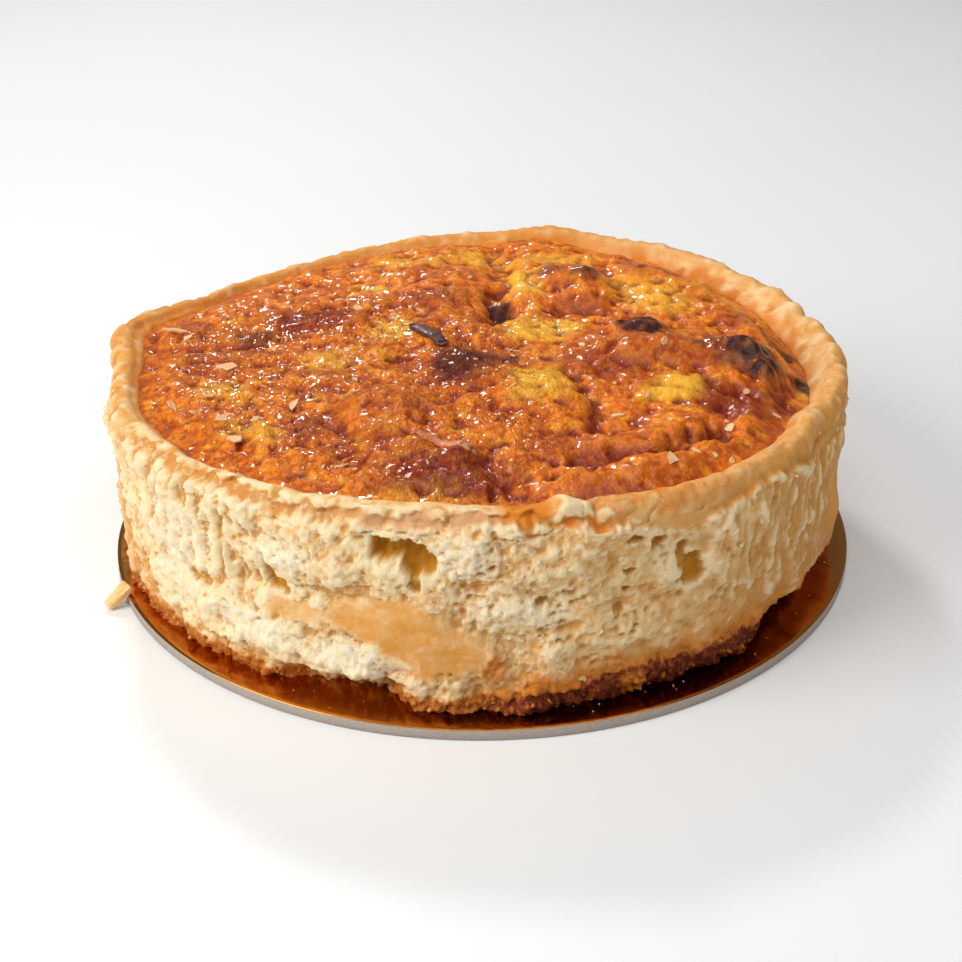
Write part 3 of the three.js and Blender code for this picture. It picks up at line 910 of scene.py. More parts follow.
def foil_material(settings):
    # Gold-coloured aluminium foil pasted on board: smooth metal with the board's faint ripple. Round
    # the front of the foot it is darkened with painted shade and a painted reflection of the dark foot.
    material, tree, place = new_material("gold_foil_on_board")
    ripple = add(tree, "ShaderNodeTexNoise", {"Vector": place, "Scale": per_metre(9),
                                             "Detail": 3}).outputs["Fac"]
    scuff = add(tree, "ShaderNodeTexNoise", {"Vector": place, "Scale": per_metre(3), "Detail": 6,
                                             "Roughness": 0.7}).outputs["Fac"]
    flat = add(tree, "ShaderNodeVectorMath", {0: place, 1: (1, 1, 0)}, operation="MULTIPLY").outputs[0]
    reach = add(tree, "ShaderNodeVectorMath", {0: flat}, operation="LENGTH").outputs["Value"]
    wander = add(tree, "ShaderNodeMath", {0: scuff, 1: 9 * MM, 2: reach}, operation="MULTIPLY_ADD").outputs[0]
    across = add(tree, "ShaderNodeSeparateXYZ", {"Vector": place}).outputs["X"]
    rough, grease, near_foot, front_right, not_far_right = (
        add(tree, "ShaderNodeMapRange", {"Value": driver, "From Min": begins, "From Max": full,
                                         "To Min": least, "To Max": most}).outputs[0]
        for driver, begins, full, least, most in (
            (scuff, 0.3, 0.8, 0.09, 0.2),
            (scuff, 0.5, 0.72, 0, 0.45),
            (wander, 108 * MM, 102 * MM, 0, 0.9),
            (across, -30 * MM, -5 * MM, 0.25, 1),
            (across, 58 * MM, 82 * MM, 1, 0.3)))
    side = add(tree, "ShaderNodeMath", {0: front_right, 1: not_far_right}, operation="MULTIPLY").outputs[0]
    # Painted shade and a painted reflection of the dark foot, round its front.
    soaked = add(tree, "ShaderNodeMath", {0: near_foot, 1: side}, operation="MULTIPLY").outputs[0]
    return surfaced(material, {
        "Base Color": layered(tree, opaque(settings.foil), ((grease, opaque(GREASY_FOIL)),
                                                            (soaked, opaque(FOOT_SHADE_ON_FOIL)))),
        "Roughness": rough,
        "Normal": add(tree, "ShaderNodeBump", {"Strength": 0.25, "Distance": 0.3 * MM,
                                               "Height": ripple}).outputs[0],
        "Metallic": 1,
    })


def board_material(settings):
    # Grey recycled board, guillotined: matt, with short pale and dark fibres at the cut.
    material, tree, place = new_material("grey_recycled_board")
    stretched = add(tree, "ShaderNodeMapping", {"Vector": place, "Scale": (1, 1, 3)}).outputs[0]
    fibre = add(tree, "ShaderNodeTexNoise", {"Vector": stretched, "Scale": 1 / settings.fibre, "Detail": 5,
                                             "Roughness": 0.7}).outputs["Fac"]
    share = add(tree, "ShaderNodeMapRange", {"Value": fibre, "From Min": 0.3, "From Max": 0.7}).outputs[0]
    darker = [0.55 * c for c in settings.board]
    return surfaced(material, {
        "Base Color": layered(tree, opaque(darker), ((share, opaque(settings.board)),)),
        "Normal": add(tree, "ShaderNodeBump", {"Strength": 0.6, "Distance": 0.2 * MM,
                                               "Height": fibre}).outputs[0],
        "Roughness": 0.85,
    })


def floor_material(settings):
    # Honed stone table top: plain, pale and smooth, with only a soft sheen.
    material, tree, place = new_material("honed_pale_stone")
    cloud = add(tree, "ShaderNodeTexNoise", {"Vector": place, "Scale": per_metre(160),
                                            "Detail": 3}).outputs["Fac"]
    share = add(tree, "ShaderNodeMapRange", {"Value": cloud, "From Min": 0.35, "From Max": 0.7,
                                             "To Max": 0.25}).outputs[0]
    darker = [0.93 * c for c in settings.floor]
    return surfaced(material, {
        "Base Color": layered(tree, opaque(settings.floor), ((share, opaque(darker)),)),
        "Roughness": 0.55,
    })


# ------------------------------------------------------------------ the pastry case

WALL_RINGS = 66
LIP_RINGS = 24
SLOPE_RINGS = 9
FIRST_WALL = 2
LAST_WALL = FIRST_WALL + 1 + WALL_RINGS
LAST_LIP = LAST_WALL + LIP_RINGS
LAST_RING = LAST_LIP + SLOPE_RINGS + 1
# The wall's rings end this far below the crest. From there the rim is swept round a core line that
# lies inside it and below its crest, by these angles above the level, then slopes down inside.
LIP_START = 5.6
LIP_CORE_INSET = 3.7
LIP_CORE_DROP = 5.0
LIP_SWEEP = (-8, 196)
SLOPE_DEPTH = 10
# The columns lie closer together at the front, where the torn wall is, by up to these degrees.
CROWDING = 17
# Width of the curds, how much smaller the small pores are, and seeds for curds and both pores.
CURD_WIDTH = 1.9
SMALL_PORE = 0.45
CURD_SEED, PORE_SEED, SMALL_PORE_SEED = 9, 11, 12
# How soft the outline of a torn place is, and of a sheet, a white place and a tuft.
TORN_EDGE, SHEET_SOFT, WHITE_SOFT, TUFT_SOFT = 0.16, 0.05, 0.4, 0.3


def case_profile(bearing, tree, edge):
    """Smooth radii and heights of every ring of the case, one column for each bearing."""
    # Reaches beyond which a ray has missed, and how many columns and rings the facets blur over.
    wall_reach, rim_reach, slope_reach = 36, 25, 28
    narrow_hollow, round_blur, rim_blur, ring_blur = 15, 5, 4, 1.2
    flat = np.zeros(len(bearing))
    outward = points_at(bearing, flat + 1, flat)
    tops = []
    for inset in np.arange(1.5, 7, 0.5):
        origin = points_at(bearing, at_bearing(bearing, *edge[:2]) + inset, flat + FAR_UP)
        tops.append(FAR_UP - cast(tree, origin, DOWN, FAR_UP))
    rim = smoothed(np.max(tops, axis=0), rim_blur, 0, True)

    radius, height = [], []
    for share in np.linspace(0, 1, WALL_RINGS):
        level = mix(CARD_TOP + 0.15, rim - LIP_START, share)
        start = points_at(bearing, flat + FAR_OUT, level)
        radius.append(FAR_OUT - cast(tree, start, -outward, wall_reach))
        height.append(level)
    wall = closed_over(np.array(radius), narrow_hollow)
    wall = smoothed(smoothed(wall, round_blur, 1, True), ring_blur, 0, False)

    core = wall[-1] - LIP_CORE_INSET
    lip_r, lip_z = [], []
    for angle in np.radians(np.linspace(*LIP_SWEEP, LIP_RINGS)):
        towards = outward * math.cos(angle) + np.array([0, 0, math.sin(angle)])
        middle = points_at(bearing, core, rim - LIP_CORE_DROP)
        reach = rim_reach - cast(tree, middle + rim_reach * towards, -towards, rim_reach - 4)
        reach = smoothed(reach, rim_blur, 0, True)
        lip_r.append(core + reach * math.cos(angle))
        lip_z.append(rim - LIP_CORE_DROP + reach * math.sin(angle))

    slope_r, slope_z = [], []
    inside = 60
    for share in np.linspace(0, 1, SLOPE_RINGS + 1)[1:]:
        level = lip_z[-1] - SLOPE_DEPTH * share
        inner = inside + cast(tree, points_at(bearing, flat + inside, level), outward, slope_reach)
        slope_r.append(np.minimum(smoothed(inner, rim_blur, 0, True), lip_r[-1] + 3))
        slope_z.append(level)

    floor_z = flat + CARD_TOP + CASE_FLOOR
    rings_r = [flat, wall[0] / 2, wall[0], *wall, *lip_r, *slope_r, slope_r[-1] - 1, flat]
    rings_z = [flat + CARD_TOP] * 3 + height + lip_z + slope_z + [floor_z, floor_z]
    return np.array(rings_r), np.array(rings_z), rim


def surveyed_case(ring, column, columns):
    """Where each point of the case lies before its relief, and how much it is in each place."""
    even = np.arange(columns) * 360 / columns - 180
    bearings = even - CROWDING * np.sin(np.radians(even))
    edge = edge_of_filling()
    radii, heights, rim = case_profile(bearings, solid_tree("crust"), edge)
    b, r, z = bearings[column], radii[ring, column], heights[ring, column]
    place = points_at(b, r, z)
    n = noise_fields(place, CASE_NOISE)

    on_wall = (ring >= FIRST_WALL) & (ring < LAST_WALL)
    on_lip = (ring >= LAST_WALL) & (ring < LAST_LIP)
    outside = on_wall * 1.0 + on_lip * ease(LAST_LIP - 6, LAST_WALL + 6, ring)
    across = b + (1.4 * n.wander + 0.8 * n.fray) / MM_PER_DEGREE
    up = z + 1.2 * n.drift + 0.8 * n.nibble
    up_from_rim = up - rim[column]
    over_sheets = up - at_bearing(across, *np.transpose(SHEET_EDGE))

    foot_height = 6.5 + 4 * ease(-5, 25, b) - 3 * ease(40, 70, b) - ease(140, 170, b) + 1.4 * n.wander
    return SimpleNamespace(
        ring=ring, b=b, r=r, z=z, place=place, noise=n, edge=edge,
        on_wall=on_wall, on_lip=on_lip, outside=outside, up_from_rim=up_from_rim, over_sheets=over_sheets,
        foot_height=foot_height,
        torn=outside * ease(0.4, -0.4, over_sheets),
        even=ragged_spots(across, up, [(*spot, 1.0) for spot in SMOOTH_PLACES], TORN_EDGE),
        hole=ragged_spots(across, up, WALL_HOLES, TORN_EDGE),
        sheet=ragged_spots(across, up, WALL_SHEETS, SHEET_SOFT),
        chip=ragged_spots(across, up_from_rim, RIM_FLAKES, TORN_EDGE) * (outside > 0),
        white=ragged_spots(across, up, WHITE_PLACES, WHITE_SOFT),
        tufts=ragged_spots(across, up, TUFTS, TUFT_SOFT),
        foot=outside * ease(foot_height + 1.5, foot_height - 1.0, z),
        seam=outside * stretch(b, *SEAM_UNDER_RIM) * bell(over_sheets - 1.5, 1.3))


def wall_relief(at, pore_size):
    """How far the wall's sheets, strands, pores, holes and undercuts stand out, in millimetres."""
    b, z, place, n, torn, foot = at.b, at.z, at.place, at.noise, at.torn, at.foot
    strands = stretch(b, *STRANDS) * ease(24, 30, z)
    layers = stretch(b, *LAYERS) * ease(12, 18, z)
    wrinkles = stretch(b, *WRINKLES) * ease(16, 30, z)
    crumbly = 1 - 0.6 * np.maximum.reduce((strands, wrinkles, layers * 0.6))
    curds = blisters(place + 0.5 * n.fray[:, None], CURD_WIDTH, CURD_SEED)
    clumps = np.maximum(ease(-0.1, 0.35, n.clump), at.white)
    steps = 2.8 * n.broad + 1.1 * n.crag + 0.35 * n.fleck
    terrace = np.floor(steps) + ease(0.84, 1.0, steps - np.floor(steps))
    pore = pits(place * (1, 1, 1.5), pore_size, PORE_SEED) * ease(0.0, 0.4, n.pore_bed)
    small_pore = pits(place * (1, 1, 1.4), pore_size * SMALL_PORE, SMALL_PORE_SEED)

    calm = mix(1, 0.55, stretch(b, *CALMER_SIDE))
    texture = calm * (RISE.curd * crumbly * clumps * curds + RISE.step * terrace)
    texture += mix(RISE.fleck, RISE.calm_fleck, ease(-5, 10, b)) * n.fleck
    texture += strands * RISE.strand * (0.5 - np.abs(2 * n.strand))
    texture += strands * RISE.slab * (ease(-0.05, 0.05, n.slab) - 0.5)
    texture += layers * RISE.layer * (0.4 - np.abs(n.layer))
    texture += wrinkles * (RISE.wrinkle * n.wrinkle + RISE.fine_wrinkle * n.fine_wrinkle)
    texture -= (RISE.pore + 0.4 * layers) * pore + RISE.small_pore * calm * small_pore

    outward = RISE.broad * torn * n.broad + torn * (1 - 0.88 * at.even) * texture
    outward += at.outside * (RISE.swell * n.swell - RISE.skin)
    outward += torn * (at.sheet * (1 - 0.6 * at.even) + RISE.torn)
    outward -= at.seam * (RISE.seam + 1.2 * np.clip(n.crag + 0.4, 0, 1))
    outward -= at.hole * at.outside * (1 - foot)
    outward += foot * (0.7 * n.crag + 0.7 * n.fleck + 0.4 * curds) + at.tufts * torn * (0.7 + 0.9 * n.fleck)
    outward += stretch(b, *UPRIGHT_FOLDS) * at.outside * RISE.fold * n.fold
    for centre, half, overhang, depth in UNDERCUTS:
        under = ease(half + 6, half - 6, np.abs(turn_between(b, centre)) * MM_PER_DEGREE)
        outward -= depth * under * at.on_wall * ease(overhang + 0.8, overhang - 0.8, z + 0.8 * n.fray)
    return outward


def rim_relief(at):
    """How far the rim's knuckles and cracks stand out and up, in millimetres."""
    b, n, ring = at.b, at.noise, at.ring
    lip = (ring >= LAST_WALL) * 1.0
    crack = ease(0.1, 0.02, np.abs(n.crack)) * at.on_lip * ease(-0.1, 0.3, n.wander)
    knuckles = 0.5 + 0.7 * stretch(b, *KNUCKLED_RIM)
    rugged = mix(1, 0.4, stretch(b, *SMOOTHER_RIM))
    out = lip * (0.7 * knuckles * n.knuckle + rugged * (0.2 * n.crag + 0.1 * n.fleck) - 0.4 * crack)
    lift = lip * (knuckles * n.broad + rugged * (0.4 * n.crag + 0.12 * n.fleck) - RISE.rim_crack * crack)
    return out, lift * ease(LAST_RING - 6, LAST_LIP, ring)


def oiled(at, reach, inner, oily):
    """How much cheese fat has soaked into the dough: run over the rim, spilled, in stains, and in the seam
    under the rim, where it is partly painted shade.
    """
    b, n = at.b, at.noise
    run = mix(6.0, 9.5, ease(100, 150, np.abs(b)))
    run_over = inner * ease(run, run - 5, reach)
    spilled = stretch(b, *OIL_SPILLED) * ease(10.5, 3.5, reach) * (at.on_lip | at.on_wall)
    line = 0.8 * stretch(b, *OIL_LINE) * ease(6.5, 1.5, reach)
    soaked = np.maximum.reduce((run_over, spilled, line)) * np.clip(0.75 + 0.8 * oily, 0, 1)
    stain = stretch(b, *OIL_STAIN) * at.on_lip * ease(-0.1, 0.35, n.wander + 0.5 * n.fray)
    drip = stretch(b, *OIL_DRIP) * at.on_lip * ease(-3.2, -2.0, at.up_from_rim)
    # In the seam under the rim the oil tone is partly cheese fat and partly painted shade of that recess.
    seam_oil_and_shade = 0.5 * at.seam * ease(0.0, 0.5, n.crag + 0.35) * ease(-20, -30, b)
    return np.maximum.reduce((soaked, stain, drip, seam_oil_and_shade, 0.7 * at.tufts * at.torn))


def dough_tones(at, place, cavity):
    """The shares of each tone of the dough, for the pastry's material."""
    b, z, n, outside, torn, white = at.b, at.z, at.noise, at.outside, at.torn, at.white
    tone = noise_fields(place, TONE_NOISE)
    behind = np.abs(b)
    edge_bearings, edge_radii, edge_heights = at.edge
    from_edge = np.hypot(at.r - at_bearing(b, edge_bearings, edge_radii),
                         z - at_bearing(b, edge_bearings, edge_heights))
    reach = from_edge + 3.0 * n.wander + 1.8 * n.fray
    inner = ease(LAST_WALL + 0.45 * LIP_RINGS, LAST_LIP, at.ring)

    on_rim = ease(0, 0.5, (at.ring >= LAST_WALL) + outside * ease(-5, 2, at.over_sheets) * 0.4)
    bearings, golden_by, toasted_by = np.transpose(RIM_TONES)
    rim_toast = 1.6 * at_bearing(b, bearings, toasted_by) * ease(-0.5, 0.5, tone.toasted)
    # Tan towards the front and right: partly drier dough, partly painted shade of the side turned from the
    # key light. The back is tan as well.
    tan = outside * (0.36 * ease(-34, -4, b) + 0.44 * ease(8, 50, b)) * ease(175, 130, behind)
    tan += outside * (0.4 * ease(95, 140, behind) + 0.15 * stretch(b, 40, 60, 90, 120))

    front_right = stretch(b, *BROWNED_FOOT)
    bare_foot = 1 - ease(9, 5, np.abs(b + 21))
    foot_tone = at.foot * mix(0.62, 1.0, front_right) * bare_foot
    rising = mix(7, 10, ease(25, 45, b)) + 3 * n.wander + 2 * n.crag
    browned = ease(at.foot_height + rising, at.foot_height, z) * (0.85 + 0.5 * n.crag + 0.3 * n.fray)
    skin = -73 + 11 * ease(40, 8, z) + 2.5 * n.wander + n.fray
    left_edge = ease(skin + 0.8, skin - 0.8, b) * ease(-125, -100, b) * ease(47, 42, z + n.wander) * outside
    scorch = inner * ease(75, 110, behind) * ease(-0.1, 0.3, tone.scorched) * ease(10, 6, reach)
    toast = np.maximum.reduce((foot_tone, 0.62 * outside * browned * front_right, 0.12 * left_edge,
                               0.25 * at.tufts * torn, 0.72 * scorch))
    smooth_golden = (0.85 + 0.4 * n.wander + 0.25 * n.fray) * at.even * torn * mix(0.45, 1, ease(-30, -16, b))
    golden = np.maximum.reduce((at_bearing(b, bearings, golden_by) * on_rim, smooth_golden, 0.85 * left_edge))
    # Painted shade in the recessed seam under the rim, at the front.
    seam_shade = 0.8 * at.seam * stretch(b, *SEAM_SHADE_BEARINGS)
    # The cavity darkens the hollows and lightens the crests, partly as painted shade and painted highlight.
    depth = mix(0.8, 0.5, ease(0, 40, b)) * cavity
    return {
        "golden": np.clip(golden * (1 - 0.8 * at.chip), 0, 1),
        "tan": tan,
        "rim": on_rim,
        "toast": np.clip(toast + rim_toast * on_rim, 0, 1),
        "oil": oiled(at, reach, inner, tone.oily) * (1 - at.chip),
        # Painted shade in the torn holes, deepest where they are deepest.
        "hollow": np.clip(at.hole / 2.2, 0, 1) * outside,
        "seam_shade": seam_shade * (1 - at.chip),
        "cavity": np.clip(0.5 + depth + 0.22 * white * torn + 0.4 * at.chip, 0, 1),
        "crumbly": outside * (1 - at.even) * mix(1, 0.66, ease(4, 30, b)) * mix(0.86, 1.12, white),
    }


def make_case(settings):
    """The flaky case: the solid's form with crags, sheets, pores and torn holes cut into it."""
    columns = settings.columns
    bm = spun([(1, ring) for ring in range(LAST_RING + 1)], columns)
    ring, column = ring_and_column(bm, columns)
    at = surveyed_case(ring, column, columns)
    outward = wall_relief(at, settings.pore / MM)
    rim_out, lift = rim_relief(at)
    move = points_at(at.b, outward + rim_out, lift)
    move += points_at(at.b, RISE.flake_out * at.chip, RISE.flake_up * at.chip)
    closing = (ring >= FIRST_WALL) & (ring < LAST_RING - 1)
    place = at.place + move * closing[:, None]
    move_points(bm, place)

    relief = np.zeros((LAST_RING + 1, columns))
    relief[ring, column] = outward + lift
    local = smoothed(smoothed(relief, 3.2, 1, True), 2.2, 0, False)
    values = dough_tones(at, place, (relief - local)[ring, column])

    made = bm.verts.layers.int.new("made")
    for index, vert in enumerate(bm.verts):
        vert[made] = index
    for end in (0, LAST_RING):
        bmesh.ops.remove_doubles(bm, verts=[v for v in bm.verts if ring[v[made]] == end], dist=1e-6)
    left = np.array([vert[made] for vert in bm.verts])
    kept = {title: numbers[left] for title, numbers in values.items()}
    return keep(bm, "pastry_case", [pastry_material(settings)], ["crust"], kept)


# ------------------------------------------------------------------ the filling

# The filling's side runs a little into the case, then down inside it to the case's floor.
INTO_CASE = 0.8
# Seeds of the curds and of the small blisters on them.
TOP_CURD_SEED, BLISTER_SEED = 8, 9
SIDE_INSET = 2.5
SIDE_MIDDLE = 40
FILLING_FOOT = CARD_TOP + CASE_FLOOR + 0.3


def ridge_heights(x, y):
    total = np.zeros(len(x))
    for x1, y1, x2, y2, half, rise in RIDGES:
        run = np.array([x2 - x1, y2 - y1], float)
        share = np.clip(((x - x1) * run[0] + (y - y1) * run[1]) / (run @ run), 0, 1)
        away = np.hypot(x - x1 - share * run[0], y - y1 - share * run[1])
        total += rise * bell(away, half)
    return total


def filling_tones(wx, wy, y, lumpy, mottle, char):
    """The shares of each tone of the baked top, for the filling's material."""
    custard = turned_spots(wx, wy, CUSTARD_PATCHES, 0.5)
    brown = turned_spots(wx, wy, BROWN_PATCHES, 0.5)
    brown = np.maximum(brown, 0.8 * ease(0.5, 2.2, lumpy) * (1 - custard))
    maroon = turned_spots(wx, wy, MAROON_PATCHES, 0.45)
    # Low furrows towards the front are maroon as well: partly the fried cheese's tone, partly painted shade
    # in the furrows.
    maroon = np.maximum(maroon, 0.6 * ease(-0.6, -1.8, lumpy) * ease(20, -30, y))
    burnt = turned_spots(wx, wy, BURNT_PATCHES, 0.3)
    return {
        "custard": custard * mottle,
        "brown": 0.9 * brown * mottle,
        "maroon": 0.9 * maroon * mottle,
        "burnt": burnt * char,
        "dry": np.maximum(ease(20, 60, y), 0.8 * burnt),
    }


def add_side(bm):
    """Draws the grid's border down inside the case and closes it underneath."""
    border = [e for e in bm.edges if e.is_boundary]
    for low in (SIDE_MIDDLE, FILLING_FOOT):
        made = bmesh.ops.extrude_edge_only(bm, edges=border)
        border = [part for part in made["geom"] if isinstance(part, bmesh.types.BMEdge) and part.is_boundary]
        for vert in new_points(made):
            reach = math.hypot(vert.co.x, vert.co.y)
            factor = (reach - SIDE_INSET * MM) / reach
            vert.co = (vert.co.x * factor, vert.co.y * factor, low * MM)
    centre = new_points(bmesh.ops.extrude_edge_only(bm, edges=border))
    bmesh.ops.pointmerge(bm, verts=centre, merge_co=(0, 0, FILLING_FOOT * MM))


def make_filling(settings):
    """The baked top: the solid's mounds with ridges, furrows, curds and blisters on them."""
    bm = bmesh.new()
    bmesh.ops.create_grid(bm, x_segments=settings.cells, y_segments=settings.cells, size=1)
    u, v, _ = np.array([vert.co[:] for vert in bm.verts]).T
    order = np.lexsort((u.round(6), v.round(6)))
    # A square grid drawn out to a round one, so that no cell is pinched in the middle.
    x, y = u * np.sqrt(1 - v ** 2 / 2), v * np.sqrt(1 - u ** 2 / 2)
    bearing, share = np.degrees(np.arctan2(x, -y)), np.hypot(x, y)
    radius = share * (at_bearing(bearing, *edge_of_filling()[:2]) + INTO_CASE)
    x, y = radius * np.sin(np.radians(bearing)), -radius * np.cos(np.radians(bearing))

    within = 0.985
    above = np.stack([within * x, within * y, np.full(len(x), float(FAR_UP))], -1)
    base = smoothed_square(FAR_UP - cast(solid_tree("filling"), above, DOWN, 50), order, 3)

    flat = np.stack([x, y, np.zeros(len(x))], -1)
    n = noise_fields(flat, FILLING_NOISE)
    wx = x + n.warp_x * 3 + n.fine_warp_x * 1.3
    wy = y + n.warp_y * 3 + n.fine_warp_y * 1.3
    ridges = ridge_heights(wx, wy)
    curd_size = settings.curd / MM
    curd = blisters(flat + 0.6 * n.middle[:, None], curd_size * 1.8, TOP_CURD_SEED)
    blister = blisters(flat, curd_size, BLISTER_SEED)
    front_left = ease(36, 0, x) * ease(40, 5, y)
    lively = 0.55 + 0.45 * front_left
    relief = 1.1 * n.big + 0.7 * n.middle + 0.28 * n.small * lively + 0.3 * (1 - 2 * np.abs(n.middle))
    relief += 0.55 * curd * lively + 0.4 * blister * lively
    height = base + ease(1.0, 0.94, share) * (1.3 * ridges + relief) - 0.3

    lumpy = ridges + 0.8 * n.big + 0.5 * n.middle
    values = filling_tones(wx, wy, y, lumpy, 0.9 + 0.35 * n.mottle, 0.95 + 0.5 * n.char)
    # The crest drives painted highlight on the crests and painted shade in the creases, besides the cheese's
    # tones.
    values["crest"] = 0.5 + 0.5 * (height - smoothed_square(height, order, 4))
    values["wet"] = 0.35 + 0.65 * front_left
    move_points(bm, np.stack([x, y, height], -1))
    add_side(bm)
    unseen = len(bm.verts) - len(x)
    kept = {title: np.pad(np.clip(numbers, 0, 1), (0, unseen)) for title, numbers in values.items()}
    return keep(bm, "baked_filling", [filling_material(settings)], ["filling"], kept)


# ------------------------------------------------------------------ the card

def make_card(settings):
    """The round board with foil pasted on its top face."""
    edge, middle, under_case = 0.16, 1.5, 70
    outline = ((0, 0), (CARD_RADIUS - 0.25, 0), (CARD_RADIUS, 0.2), (CARD_RADIUS, middle),
               (CARD_RADIUS, CARD_TOP - edge), (CARD_RADIUS - edge, CARD_TOP), (CARD_RADIUS - 1.2, CARD_TOP),
               (under_case, CARD_TOP), (0, CARD_TOP))
    bm = spun([(radius * MM, height * MM) for radius, height in outline], settings.sides)
    bmesh.ops.remove_doubles(bm, verts=bm.verts[:], dist=1e-7)
    for face in bm.faces:
        on_top = face.calc_center_median().z > (CARD_TOP - 0.1) * MM
        face.material_index = 0 if on_top else 1
    materials = [foil_material(settings), board_material(settings)]
    return keep(bm, "foil_faced_card", materials, ["cake_card"])


# ------------------------------------------------------------------ shreds, flakes and crumbs

# The shreds: name, start and end of the middle line, half width, thickness, and how far it bows.
PALE_SHRED = ("pale_shred", (-17, -57.5), (-1, -66), 1.25, 0.55, 0.4)
DARK_SHRED = ("dark_shred", (-19, 8), (-9.5, -4), 1.9, 0.8, 1.0)
FLAKE_CORNERS = 7
# No small flakes lie on the filling both right of this x and behind this y.
CLEAN_RIGHT_OF, CLEAN_BEHIND = 20, 0
# One in so many crumbs lies loose on the card.
LOOSE_EVERY = 5


def surface_of(piece):
    """A search tree of a finished piece, in metres."""
    return BVHTree.FromObject(piece, bpy.context.evaluated_depsgraph_get())


def hit_from_above(tree, x, y):
    """Where a point in millimetres lands on a piece from above, with the normal there."""
    return tree.ray_cast(Vector((x * MM, y * MM, FAR_UP * MM)), Vector((0, 0, -1)))[:2]


def hit_from_outside(tree, bearing, height):
    """Where a level ray from outside meets a piece, with the normal there."""
    origin = Vector(points_at(bearing, FAR_OUT, height)) * MM
    return tree.ray_cast(origin, -Vector(points_at(bearing, 1, 0)))[:2]


def make_shred(tree, shape, material):
    """One shred of cheese that lies along the filling."""
    name, start, end, half, thick, bow = shape
    bm = bmesh.new()
    bmesh.ops.create_cube(bm, size=2)
    long_edges = [e for e in bm.edges if abs(e.verts[0].co.x - e.verts[1].co.x) > 1]
    bmesh.ops.subdivide_edges(bm, edges=long_edges, cuts=14)
    bmesh.ops.bevel(bm, geom=[e for e in bm.edges if e.is_manifold and e.calc_face_angle(0) > 1],
                    offset=0.45, offset_type="OFFSET", segments=2, profile=0.5, affect="EDGES", material=-1)
    start = Vector(start)
    run = Vector(end) - start
    side = Vector((-run.y, run.x)).normalized()
    for vert in bm.verts:
        share = (vert.co.x + 1) / 2
        taper = 0.55 + 0.45 * math.sin(math.pi * min(max(share, 0.05), 0.95)) ** 0.5
        wobble = 0.35 * noise.noise(Vector((share * 5, half, thick)))
        middle = start + run * share
        place = middle + side * (vert.co.y * half * taper + bow * math.sin(math.pi * share) + wobble)
        under = max(hit_from_above(tree, *(middle + side * off))[0].z for off in (-1, 0, 1))
        vert.co = (*(place * MM), under + (0.6 * thick + vert.co.z * thick * taper) * MM)
    keep(bm, name, [material])


def flake_shape(bm, size, thickness, rng):
    """One thin torn flake, lying flat at the origin, in millimetres."""
    made = bmesh.ops.create_circle(bm, cap_ends=True, segments=FLAKE_CORNERS, radius=size / 2)["verts"]
    narrowed = rng.uniform(0.35, 0.9)
    for vert in made:
        vert.co *= rng.uniform(0.55, 1.2)
        vert.co.y *= narrowed
        vert.co.z = rng.uniform(-0.05, 0.05) * size
    faces = list({face for vert in made for face in vert.link_faces})
    lower = new_points(bmesh.ops.extrude_face_region(bm, geom=faces))
    for vert in lower:
        vert.co.z -= thickness
    return made + lower


def lay(verts, place, normal, spin, lift, tilt):
    """Turns a shape to lie on a surface at a place in metres, and tips it by a tilt."""
    up = Vector((0, 0, 1)).rotation_difference(normal).to_matrix().to_4x4()
    turn = Matrix.Rotation(spin, 4, "Z")
    tip = Matrix.Rotation(tilt, 4, "X")
    move = Matrix.Translation(place + normal * lift) @ up @ turn @ tip @ Matrix.Scale(MM, 4)
    for vert in verts:
        vert.co = move @ vert.co


def make_top_flakes(settings, tree, rng):
    """Pale flakes and crumbs of pastry that fell on the filling."""
    bm = bmesh.new()
    spots = list(TOP_FLAKES)
    for _ in range(settings.top_flakes):
        angle, reach = rng.uniform(0, FULL_TURN), 80 * math.sqrt(rng.uniform(0, 1))
        x, y = reach * math.cos(angle), reach * math.sin(angle)
        if x > CLEAN_RIGHT_OF and y > CLEAN_BEHIND:
            continue
        spots.append((x, y, rng.uniform(0.7, 2.2)))
    for x, y, size in spots:
        place, normal = hit_from_above(tree, x, y)
        if place is None:
            continue
        verts = flake_shape(bm, size, 0.2 + 0.05 * size, rng)
        lay(verts, place, normal, rng.uniform(0, 6.3), 0.3 * MM, rng.uniform(-0.2, 0.2))
    material = flake_material("dry_pastry_flakes", settings.flake, FLAKE_EDGE)
    keep(bm, "pastry_flakes_on_top", [material], smooth=False)


def make_wall_flakes(settings, tree, rng):
    """Thin flakes that stand a little off the wall, except on its smooth places."""
    bm = bmesh.new()
    for _ in range(settings.wall_flakes):
        bearing, height = rng.uniform(-180, 180), rng.uniform(9, 50)
        if any(abs(bearing - centre) < wide and abs(height - middle) < tall
               for centre, middle, wide, tall in SMOOTH_PLACES):
            continue
        place, normal = hit_from_outside(tree, bearing, height)
        if place is None:
            continue
        verts = flake_shape(bm, rng.uniform(0.7, 2.6), 0.25, rng)
        lay(verts, place, normal, rng.uniform(0, 6.3), 0, rng.uniform(-0.9, 0.9))
    material = flake_material("dry_wall_flakes", settings.wall_flake, WALL_FLAKE_EDGE)
    keep(bm, "pastry_flakes_on_wall", [material], smooth=False)


